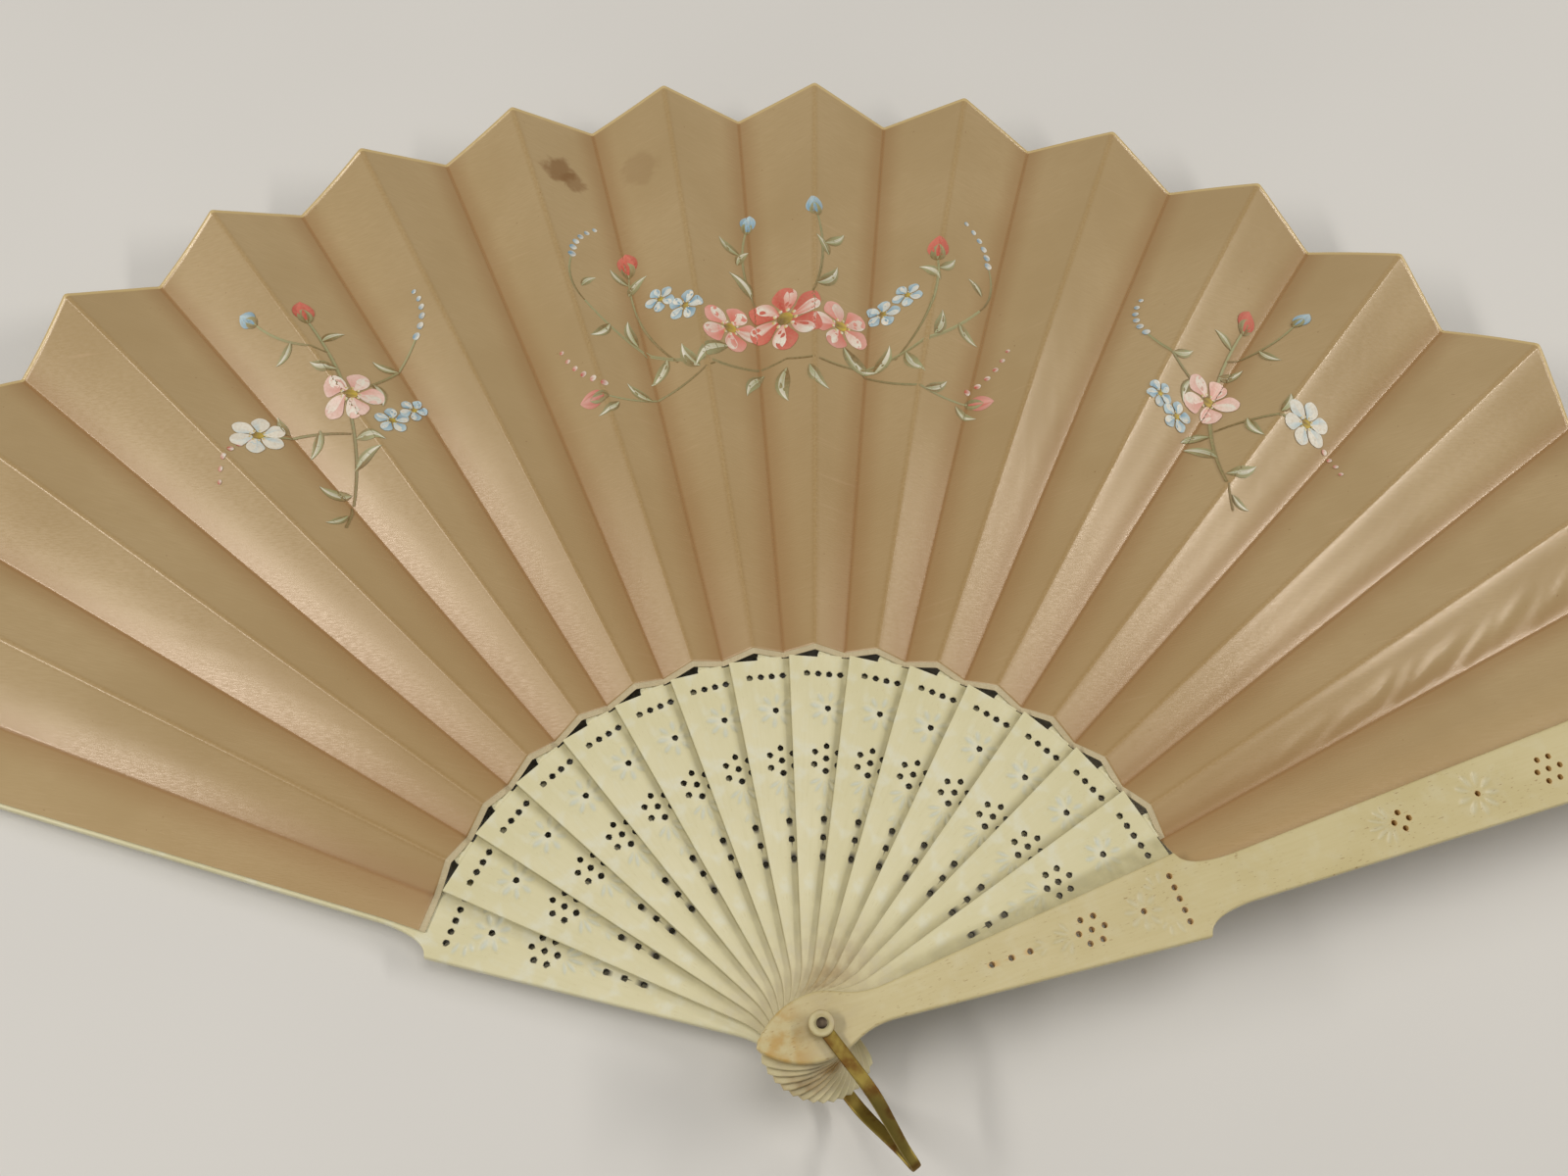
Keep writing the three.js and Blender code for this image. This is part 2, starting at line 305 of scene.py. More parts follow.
def skinned(name: str, rings: Array) -> Mesh:
    """A closed skin over rings of points, whose end rings are drawn in to their middles.

    Args:
        name: the mesh's name.
        rings: rings of millimetre points, from one end to the other.

    Returns:
        The closed mesh.
    """
    sides = rings.shape[1]
    first, last = (np.repeat(end.mean(axis=1, keepdims=True), sides, axis=1)
                   for end in (rings[:1], rings[-1:]))
    skin = np.concatenate([first, rings, last])
    mesh = write_mesh(name, skin.reshape(-1, 3), tube_quads(len(skin), sides))
    close_up(mesh)
    return mesh


def put(name: str, data: bpy.types.ID) -> Piece:
    """Puts data in the scene as an object at the origin.

    Args:
        name: the object's name.
        data: its mesh, light or camera.

    Returns:
        The new object.
    """
    made = bpy.data.objects.new(name, data)
    bpy.context.scene.collection.objects.link(made)
    return made


def bored(name: str, blank: Mesh, spots: Array, span: tuple[float, float], sides: int) -> Mesh:
    """Cuts upright round holes through a mesh.

    Args:
        name: the finished mesh's name.
        blank: the mesh before it is bored.
        spots: x, y and radius of each hole.
        span: the middle and the length of the bars that cut the holes.
        sides: the number of sides of a hole.

    Returns:
        The bored mesh.
    """
    work = bmesh.new()
    for x, y, r in spots:
        bmesh.ops.create_cone(work, cap_ends=True, segments=sides, radius1=r * MM, radius2=r * MM,
                              depth=span[1] * MM, matrix=Matrix.Translation((x * MM, y * MM, span[0] * MM)))
    bars = bpy.data.meshes.new(name + "_bars")
    work.to_mesh(bars)
    work.free()
    whole, tool = put(name + "_blank", blank), put(name + "_bars", bars)
    cut = whole.modifiers.new("bore", "BOOLEAN")
    cut.operation, cut.solver, cut.object = "DIFFERENCE", "EXACT", tool
    done = bpy.data.meshes.new_from_object(whole.evaluated_get(bpy.context.evaluated_depsgraph_get()))
    for used in (whole, tool):
        bpy.data.objects.remove(used)
    done.name = name
    return done


def points_of(mesh: Mesh) -> Array:
    """The mesh's points in millimetres.

    Args:
        mesh: the mesh to read.

    Returns:
        One row for each point.
    """
    flat = np.empty(3 * len(mesh.vertices), dtype=np.float32)
    mesh.vertices.foreach_get("co", flat)
    return flat.reshape(-1, 3).astype(float) / MM


def store(mesh: Mesh, name: str, values: Array) -> None:
    """One number for each point, which a material reads by name."""
    made = mesh.attributes.get(name) or mesh.attributes.new(name, "FLOAT", "POINT")
    made.data.foreach_set("value", np.broadcast_to(values, len(mesh.vertices)).astype(np.float32))


def store_uv(mesh: Mesh, name: str, flat: Array) -> None:
    """A map of millimetre places on the flat material, given for each point.

    Args:
        mesh: the mesh to write to.
        name: the map's name.
        flat: two numbers for each point.
    """
    loops = np.empty(len(mesh.loops), dtype=np.int32)
    mesh.loops.foreach_get("vertex_index", loops)
    mesh.uv_layers.new(name=name).data.foreach_set("uv", flat[loops].astype(np.float32).ravel())


def add_piece(mesh: Mesh, finishes: list[Material], body: str, node: str | None) -> Piece:
    """Puts a mesh in the scene as a piece of the fan.

    Args:
        mesh: the finished mesh, already in place.
        finishes: its materials, in slot order.
        body: the moving body that it rides on.
        node: the solid that it stands for, if any.

    Returns:
        The new object.
    """
    piece = put(mesh.name, mesh)
    for finish in finishes:
        mesh.materials.append(finish)
    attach(piece, body)
    if node is not None:
        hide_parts(node)
    log.info("piece %s on %s: %d faces", piece.name, body, len(mesh.polygons))
    return piece


class Shader:
    """A material's node tree, with short calls to add and join nodes."""

    def __init__(self, name: str) -> None:
        """Starts a material with one shader.

        Args:
            name: the material's name.
        """
        self.material = bpy.data.materials.new(name)
        self.material.use_nodes = True
        self.tree = self.material.node_tree
        self.surface = self.tree.nodes["Principled BSDF"]

    def feed(self, socket: Socket, value: object) -> None:
        """Joins a socket to another socket, or sets its value.

        Args:
            socket: the input.
            value: the socket to join it to, or a plain value.
        """
        if isinstance(value, Socket):
            self.tree.links.new(value, socket)
        else:
            socket.default_value = value

    def dress(self, sockets: dict[str, object]) -> None:
        """Feeds the shader's own sockets."""
        for name, value in sockets.items():
            self.feed(self.surface.inputs[name], value)

    def node(self, kind: str, settings: dict[str, object],
             sockets: dict[str | int, object]) -> bpy.types.Node:
        """Adds a node with its settings and inputs.

        Args:
            kind: the node's type.
            settings: its properties by name.
            sockets: its inputs by name or number, each a value or a socket.

        Returns:
            The new node.
        """
        made = self.tree.nodes.new(kind)
        for name, value in settings.items():
            setattr(made, name, value)
        for name, value in sockets.items():
            self.feed(made.inputs[name], value)
        return made

    def attribute(self, name: str) -> Socket:
        """A number stored on the mesh."""
        return self.node("ShaderNodeAttribute", {"attribute_name": name}, {}).outputs["Fac"]

    def tint(self, name: str) -> Socket:
        """A colour stored on the mesh."""
        return self.node("ShaderNodeAttribute", {"attribute_name": name}, {}).outputs["Color"]

    def map(self, name: str, scale: tuple[float, float]) -> Socket:
        """A stored map, with its two directions scaled.

        Args:
            name: the map's name.
            scale: the scale of each direction.

        Returns:
            The scaled coordinates.
        """
        source = self.node("ShaderNodeUVMap", {"uv_map": name}, {}).outputs["UV"]
        sockets = {"Vector": source, "Scale": (*scale, 1.0)}
        return self.node("ShaderNodeMapping", {}, sockets).outputs["Vector"]

    def place(self) -> Socket:
        """The piece's own coordinates, in metres."""
        return self.node("ShaderNodeTexCoord", {}, {}).outputs["Object"]

    def noise(self, vector: Socket, scale: float, detail: float = 3.0) -> Socket:
        """Soft noise from 0 to 1."""
        sockets = {"Vector": vector, "Scale": scale, "Detail": detail}
        return self.node("ShaderNodeTexNoise", {}, sockets).outputs["Fac"]

    def step(self, value: Socket, low: float, high: float, start: float = 0.0,
             end: float = 1.0) -> Socket:
        """A smooth step from start at low to end at high; low may be the larger.

        Args:
            value: what is stepped.
            low: where the step starts.
            high: where it ends.
            start: the result at low.
            end: the result at high.

        Returns:
            The stepped value.
        """
        if low > high:
            low, high, start, end = high, low, end, start
        sockets = {"Value": value, "From Min": low, "From Max": high, "To Min": start, "To Max": end}
        settings = {"interpolation_type": "SMOOTHSTEP"}
        return self.node("ShaderNodeMapRange", settings, sockets).outputs["Result"]

    def math(self, operation: str, a: object, b: object) -> Socket:
        """One operation on two values."""
        return self.node("ShaderNodeMath", {"operation": operation}, {0: a, 1: b}).outputs["Value"]

    def mix(self, share: object, a: object, b: object, blend: str = "MIX") -> Socket:
        """Colour a passing to colour b.

        Args:
            share: how much of b there is, from 0 to 1.
            a: the colour below.
            b: the colour laid over it.
            blend: how b is laid.

        Returns:
            The mixed colour.
        """
        sockets = {0: share, 6: a, 7: b}
        made = self.node("ShaderNodeMix", {"data_type": "RGBA", "blend_type": blend}, sockets)
        return made.outputs[2]

    def bump(self, height: Socket, distance: float, strength: float = 1.0) -> Socket:
        """Surface relief of the given depth in millimetres."""
        sockets = {"Height": height, "Distance": distance * MM, "Strength": strength}
        return self.node("ShaderNodeBump", {}, sockets).outputs["Normal"]


@dataclass(frozen=True)
class BoneFinish:
    """Polished bone with long grain, flecks, stains, grime at the rivet, a band beside the next stick's edge
    that is partly dirt and partly painted shadow, painted shade in the holes' walls, and cool grey gouge
    cuts.
    """

    name: str
    ground: Colour
    deep: Colour
    fleck: Colour
    fleck_share: float
    stain: Colour
    stain_share: float
    # Painted shade: the colour of the holes' walls, which stands for the shade inside the holes.
    inside: Colour = srgb(46, 38, 28)
    cut_share: float = 0.68
    pale_share: float = 0.45
    pale: Colour = srgb(228, 230, 216)
    cut: Colour = srgb(200, 208, 200)
    dirt: Colour = srgb(152, 122, 68)
    soil_and_shadow: Colour = srgb(170, 160, 114)

    def build(self) -> Material:
        """Makes the material.

        Returns:
            The new material.
        """
        s = Shader(self.name)
        grain = s.noise(s.map("grain", (1.6, 0.07)), 1.0, 4.0)
        cloud = s.noise(s.map("grain", (0.09, 0.045)), 1.0, 3.0)
        colour = s.mix(s.step(grain, 0.36, 0.7, 0.0, 0.2), self.ground, self.deep)
        colour = s.mix(s.step(cloud, 0.3, 0.75, 0.0, 0.6), colour, self.deep)
        colour = s.mix(s.attribute("tone"), colour, self.deep)
        pores = s.noise(s.map("grain", (2.6, 0.55)), 1.0, 2.0)
        speck = s.math("MULTIPLY", s.step(pores, 0.64, 0.72), s.step(cloud, 0.36, 0.6))
        colour = s.mix(s.math("MULTIPLY", speck, self.fleck_share), colour, self.fleck)
        blot = s.noise(s.map("grain", (0.22, 0.2)), 1.0, 5.0)
        yellow = s.math("MULTIPLY", s.step(blot, 0.36, 0.62), s.attribute("head"))
        colour = s.mix(s.math("MULTIPLY", yellow, self.stain_share), colour, self.stain)
        colour = s.mix(s.step(blot, 0.48, 0.72, 0.0, self.pale_share), colour, self.pale)
        colour = s.mix(s.math("MULTIPLY", s.attribute("carve"), self.cut_share), colour, self.cut)
        dirt = s.math("MULTIPLY", s.attribute("grime"), s.step(blot, 0.25, 0.7, 0.35, 1.0))
        colour = s.mix(dirt, colour, self.dirt)
        # Painted shadow mixed with dirt: a darker band beside the next stick's edge, where that raised edge
        # casts its shadow.
        soil_and_shadow = s.math("MULTIPLY", s.attribute("lap_soil_and_shadow"), s.step(blot, 0.25, 0.7, 0.4, 0.8))
        colour = s.mix(soil_and_shadow, colour, self.soil_and_shadow)
        # Painted shade inside the holes: their walls take the set wall colour.
        colour = s.mix(s.attribute("hole"), colour, self.inside)
        relief = s.math("ADD", s.math("MULTIPLY", grain, 0.5), s.math("MULTIPLY", pores, 0.5))
        s.dress({
            "Base Color": colour,
            "Roughness": s.step(grain, 0.2, 0.8, 0.32, 0.5),
            "Normal": s.bump(relief, 0.012, 0.5),
            "Specular IOR Level": 0.4,
            "Coat Weight": 0.1,
            "Coat Roughness": 0.25,
        })
        return s.material


@dataclass(frozen=True)
class SatinFinish:
    """Champagne satin: fine threads, a directional sheen, worn mountain folds, painted shade along the valley
    folds, a pale gold hem and old stains.
    """

    name: str = "champagne_satin"
    ground: Colour = srgb(190, 166, 125)
    deep: Colour = srgb(178, 153, 111)
    aged: Colour = srgb(170, 136, 88)
    worn: Colour = srgb(156, 124, 72)
    # Painted shade laid along the valley folds.
    valley: Colour = srgb(150, 109, 64)
    hem: Colour = srgb(206, 182, 130)
    slub: Colour = srgb(206, 176, 140)
    stain: Colour = srgb(134, 98, 58)
    roughness: tuple[float, float] = (0.18, 0.26)
    foot_roughness: float = 0.1
    stain_level: float = 12.0
    stain_core: float = 0.55
    stain_blur: float = 6.0
    stains: tuple[tuple[float, float, float, float], ...] = (
        (-65.7, 248.8, 6.5, 0.75), (-60.5, 246.0, 4.5, 0.6), (-40.5, 250.9, 7.5, 0.22))

    def build(self) -> Material:
        """Makes the material.

        Returns:
            The new material.
        """
        s = Shader(self.name)
        thread = s.noise(s.map("cloth", (0.22, 2.6)), 1.0, 2.0)
        slub = s.noise(s.map("cloth", (0.04, 0.9)), 1.0, 4.0)
        glint = s.noise(s.map("cloth", (0.45, 3.4)), 1.0, 1.0)
        cloud = s.noise(s.map("cloth", (0.02, 0.02)), 1.0, 4.0)
        colour = s.mix(s.step(cloud, 0.32, 0.7), self.ground, self.deep)
        colour = s.mix(s.step(thread, 0.25, 0.75, 0.0, 0.6), colour, self.deep)
        mountain, valley, rim = s.attribute("mountain"), s.attribute("valley"), s.attribute("rim")
        colour = s.mix(s.step(rim, 70.0, 190.0, 0.0, 0.44), colour, self.aged)
        colour = s.mix(s.step(slub, 0.6, 0.78, 0.0, 0.25), colour, self.slub)
        # Painted shade along each valley fold: a broad reddish-brown band and a narrow darker core line in
        # the crease.
        colour = s.mix(s.step(valley, 8.0, 0.0, 0.0, 0.42), colour, self.valley)
        colour = s.mix(s.step(valley, 1.1, 0.1, 0.0, 0.6), colour, self.valley)
        dots = s.noise(s.map("cloth", (1.4, 1.4)), 1.0, 2.0)
        line = s.math("MULTIPLY", s.step(mountain, 1.5, 0.2), s.step(dots, 0.35, 0.62, 0.18, 0.42))
        colour = s.mix(line, colour, self.worn)
        place = s.place()
        blur = s.noise(place, 320.0, 4.0)
        for x, y, reach, depth in self.stains:
            away = s.node("ShaderNodeVectorMath", {"operation": "DISTANCE"},
                          {0: place, 1: (x * MM, y * MM, self.stain_level * MM)}).outputs["Value"]
            ragged = s.math("MULTIPLY", s.math("SUBTRACT", blur, 0.5), self.stain_blur * MM)
            spread = s.math("ADD", away, ragged)
            share = s.step(spread, reach * MM, reach * self.stain_core * MM, 0.0, depth)
            colour = s.mix(share, colour, self.stain)
        specks = s.noise(place, 900.0, 1.0)
        colour = s.mix(s.step(specks, 0.79, 0.83, 0.0, 0.5), colour, self.stain)
        colour = s.mix(s.step(rim, 1.1, 0.85), colour, self.hem)
        weave = s.math("ADD", thread, s.math("MULTIPLY", slub, 0.6))
        tangent = s.node("ShaderNodeTangent", {"direction_type": "UV_MAP", "uv_map": "cloth"}, {})
        foot = s.step(rim, 90.0, 190.0, 0.0, self.foot_roughness)
        s.dress({
            "Base Color": colour,
            "Roughness": s.math("ADD", s.step(glint, 0.3, 0.7, *self.roughness), foot),
            "Normal": s.bump(weave, 0.05, 0.04),
            "Tangent": tangent.outputs["Tangent"],
            "Anisotropic": 0.55,
            "Specular IOR Level": 0.5,
            "Specular Tint": srgb(255, 242, 230),
            "Sheen Weight": 0.12,
            "Sheen Roughness": 0.35,
            "Sheen Tint": srgb(255, 226, 198),
        })
        return s.material


@dataclass(frozen=True)
class LiningFinish:
    """The plain woven lining behind the satin, which shows as a pale band along the lower edge."""

    name: str = "pale_lining"
    ground: Colour = srgb(208, 194, 160)
    deep: Colour = srgb(186, 170, 132)

    def build(self) -> Material:
        """Makes the material.

        Returns:
            The new material.
        """
        s = Shader(self.name)
        warp = s.noise(s.map("cloth", (4.0, 0.4)), 1.0, 2.0)
        weft = s.noise(s.map("cloth", (0.4, 4.0)), 1.0, 2.0)
        cloud = s.noise(s.map("cloth", (0.05, 0.05)), 1.0, 4.0)
        weave = s.math("ADD", warp, weft)
        colour = s.mix(s.step(cloud, 0.3, 0.72, 0.0, 0.45), self.ground, self.deep)
        colour = s.mix(s.step(weave, 0.8, 1.25, 0.0, 0.5), colour, self.deep)
        s.dress({
            "Base Color": colour,
            "Roughness": s.step(weave, 0.6, 1.4, 0.75, 0.92),
            "Normal": s.bump(weave, 0.06, 0.6),
            "Sheen Weight": 0.15,
        })
        return s.material


@dataclass(frozen=True)
class PaintFinish:
    """Thin body colour on satin, brushed by hand."""

    name: str = "brushed_paint"
    cloth: Colour = srgb(196, 162, 122)

    def build(self) -> Material:
        """Makes the material.

        Returns:
            The new material.
        """
        s = Shader(self.name)
        drag = s.noise(s.place(), 1400.0, 3.0)
        colour = s.mix(s.step(drag, 0.35, 0.75, 0.0, 0.28), s.tint("paint"), self.cloth)
        s.dress({
            "Base Color": colour,
            "Roughness": s.step(drag, 0.2, 0.8, 0.45, 0.68),
            "Normal": s.bump(drag, 0.05, 0.5),
            "Specular IOR Level": 0.4,
        })
        return s.material


@dataclass(frozen=True)
class MetalFinish:
    """Aged metal with a darker tarnish that gathers in patches."""

    name: str
    ground: Colour
    tarnish: Colour
    tarnish_from: float
    roughness: tuple[float, float]

    def build(self) -> Material:
        """Makes the material.

        Returns:
            The new material.
        """
        s = Shader(self.name)
        place = s.place()
        cloud = s.noise(place, 190.0, 5.0)
        drawn = s.node("ShaderNodeMapping", {}, {"Vector": place, "Scale": (900.0, 160.0, 900.0)})
        scratch = s.noise(drawn.outputs["Vector"], 1.0, 3.0)
        dull = s.step(cloud, self.tarnish_from, self.tarnish_from + 0.25)
        colour = s.mix(dull, self.ground, self.tarnish)
        colour = s.mix(s.step(scratch, 0.62, 0.8, 0.0, 0.35), colour, self.tarnish)
        s.dress({
            "Base Color": colour,
            "Metallic": 1.0,
            "Roughness": s.step(cloud, 0.3, 0.75, *self.roughness),
            "Normal": s.bump(scratch, 0.02, 0.5),
        })
        return s.material


@dataclass(frozen=True)
class Gouge:
    """One petal-shaped cut: where it starts, where it points, and its size."""

    x: float
    y: float
    azimuth: float
    length: float
    width: float
    depth: float


def flower(y: float, petals: int, start: float, length: float, width: float, depth: float) -> list[Gouge]:
    """Petals set round a hole on the middle line.

    Args:
        y: the hole's place along the blade.
        petals: how many petals there are.
        start: their distance from the hole's middle.
        length: a petal's length.
        width: its width.
        depth: its depth.

    Returns:
        The petals.
    """
    turns = np.arange(petals) * 360.0 / petals + 11.0
    return [Gouge(start * math.sin(t), y + start * math.cos(t), float(d), length, width, depth)
            for t, d in zip(np.radians(turns), turns)]


def spray(y: float, toward: float, petals: int, spread: float, length: float, depth: float) -> list[Gouge]:
    """Petals that open like a hand from one place on the middle line.

    Args:
        y: the place along the blade.
        toward: the middle petal's azimuth.
        petals: how many petals there are.
        spread: degrees from the middle petal to the last.
        length: the middle petal's length.
        depth: a petal's depth.

    Returns:
        The petals.
    """
    start, width, shorter = 0.7, 1.15, 0.22
    turns = toward + np.linspace(-spread, spread, petals)
    return [Gouge(start * math.sin(t), y + start * math.cos(t), float(d), length * (1.0 - shorter * abs(k)),
                  width, depth) for t, d, k in zip(np.radians(turns), turns, np.linspace(-1.0, 1.0, petals))]


@dataclass
class PiercedBlade:
    """A flat bone blade along Y, given by its half widths, with gouge cuts and drilled holes."""

    name: str
    low: float
    high: float
    stations: Array
    outline: Array
    holes: Array
    gouges: list[Gouge]
    both_faces: bool
    hole_r: float = 0.7
    full_cut: float = 0.27
    edge: float = 0.22
    columns: Array = field(default_factory=lambda: np.concatenate(
        [[-1.0, -0.99, -0.975], np.linspace(-0.955, 0.955, 45), [0.975, 0.99, 1.0]]))

    def half(self, y: Array) -> Array:
        """Half width at y, read off the outline."""
        return np.maximum(np.interp(y, self.outline[:, 1], self.outline[:, 0]), 0.05)

    def cut_depth(self, x: Array, y: Array) -> Array:
        """Depth of the deepest gouge at each point: a parabola across each petal, which swells along it.

        Args:
            x: places across the blade.
            y: places along it.

        Returns:
            The depth at each place.
        """
        depth = np.zeros_like(x)
        for g in self.gouges:
            a = math.radians(g.azimuth)
            dx, dy = x - g.x, y - g.y
            along = (dx * math.sin(a) + dy * math.cos(a)) / g.length
            across = dx * math.cos(a) - dy * math.sin(a)
            swell = np.sin(np.pi * np.clip(along, 0.0, 1.0) ** 1.3)
            reach = np.maximum(0.5 * g.width * np.sqrt(swell), 1e-6)
            inside = (along > 0) & (along < 1)
            cut = g.depth * np.sqrt(swell) * np.clip(1.0 - (across / reach) ** 2, 0.0, 1.0)
            depth = np.maximum(depth, np.where(inside, cut, 0.0))
        return depth

    def surface(self) -> tuple[Array, Array]:
        """Both faces as grids: x is the column's share of the half width at y, and z the face less its
        round-over at the edge and its gouges.

        Returns:
            The points and the quads.
        """
        y, u = np.meshgrid(self.stations, self.columns, indexing="ij")
        half = self.half(y)
        x = u * half
        inward = np.clip((1.0 - np.abs(u)) * half, 0.0, self.edge)
        over = self.edge - np.sqrt(np.maximum(self.edge**2 - (self.edge - inward) ** 2, 0.0))
        cut = self.cut_depth(x, y)
        front = np.stack([x, y, self.high - over - cut], axis=-1)
        back = np.stack([x, y, self.low + over + (cut if self.both_faces else 0.0)], axis=-1)
        points = np.concatenate([front.reshape(-1, 3), back.reshape(-1, 3)])
        return points, sheet_quads(*y.shape)

    @property
    def spots(self) -> Array:
        """Place and radius of every hole, with the rivet's bore last."""
        return np.array([*((x, y, self.hole_r) for x, y in self.holes), (0.0, 0.0, BORE)])

    def pierced(self) -> Mesh:
        """The blade with its holes cut through.

        Returns:
            The pierced mesh, along Y.
        """
        blank = write_mesh(self.name + "_blank", *self.surface())
        span = (self.high + self.low) / 2, (self.high - self.low) * 3
        done = bored(self.name, blank, self.spots, span, 20)
        shade(done, 32.0)
        return done

    def mark(self, mesh: Mesh, grime: tuple[float, float], head: tuple[float, float]) -> None:
        """Stores what the bone's material reads: grain direction, gouges, holes (whose walls get painted
        shade), grime and head stain.

        Args:
            mesh: the pierced blade, still along Y.
            grime: the grime at the rivet and how far it reaches.
            head: the radius at which the stained head starts to fade, and where it ends.
        """
        p = points_of(mesh)
        x, y = p[:, 0], p[:, 1]
        store_uv(mesh, "grain", np.stack([x + 0.35 * p[:, 2], y], axis=-1))
        near_face = smooth(p[:, 2], self.high - 0.6, self.high - 0.4)
        if self.both_faces:
            near_face = np.maximum(near_face, smooth(-p[:, 2], -self.low - 0.6, -self.low - 0.4))
        store(mesh, "carve", self.cut_depth(x, y) / self.full_cut * near_face)
        spots = self.spots
        away = np.hypot(x[:, None] - spots[:, 0], y[:, None] - spots[:, 1]) - spots[:, 2]
        store(mesh, "hole", (away.min(axis=1) < 0.02).astype(float))
        store(mesh, "grime", grime[0] * (1.0 - smooth(np.hypot(x, y), 4.0, grime[1])))
        store(mesh, "head", 1.0 - smooth(y, *head))


def head_outline() -> Array:
    """Half widths from the head's blunt end round its lobe and into the blade's straight side.

    Returns:
        Rows of half width and y, from the end upwards.
    """
    end = np.array([[0.05, HEAD_END], [0.35, HEAD_END + 0.02], [0.62, HEAD_END + 0.1]])
    lobe = bezier([(0.8, -14.36), (7.4, -8.32), (7.4, 0.0)], 24)
    neck = bezier([(7.4, 0.0), (7.4, 5.61), (3.11, 7.65), (3.9, 17.0)], 30)
    return np.concatenate([end, lobe, neck[1:]])


def head_rows() -> Array:
    """Stations along Y from the head's end to the first holes, closest on the head."""
    return np.concatenate([np.linspace(HEAD_END, 20.0, 52)[:-1], np.linspace(20.0, 50.0, 18)[:-1]])


def hole_cluster(y: float) -> list[tuple[float, float]]:
    """One hole with six round it."""
    ring, reach = np.radians(60.0 * np.arange(6) + 30.0), 3.2
    return [(0.0, y), *((reach * math.cos(a), y + reach * math.sin(a)) for a in ring)]


def gorge_holes() -> list[tuple[float, float]]:
    """The drilled pattern that every blade has below the leaf."""
    row = [((j - 2) * 2.75, 87.4) for j in range(5)]
    return [*row, (0.0, 78.3), *hole_cluster(65.2), (0.0, 50.0), (0.0, 45.4), (0.0, 40.7)]


def gorge_gouges() -> list[Gouge]:
    """The gouged flower and sprig that every blade has below the leaf."""
    return [*flower(78.3, 8, 1.55, 3.1, 1.5, 0.27), *spray(60.6, 180.0, 5, 62.0, 4.6, 0.27),
            *spray(54.6, 180.0, 3, 34.0, 3.4, 0.2)]


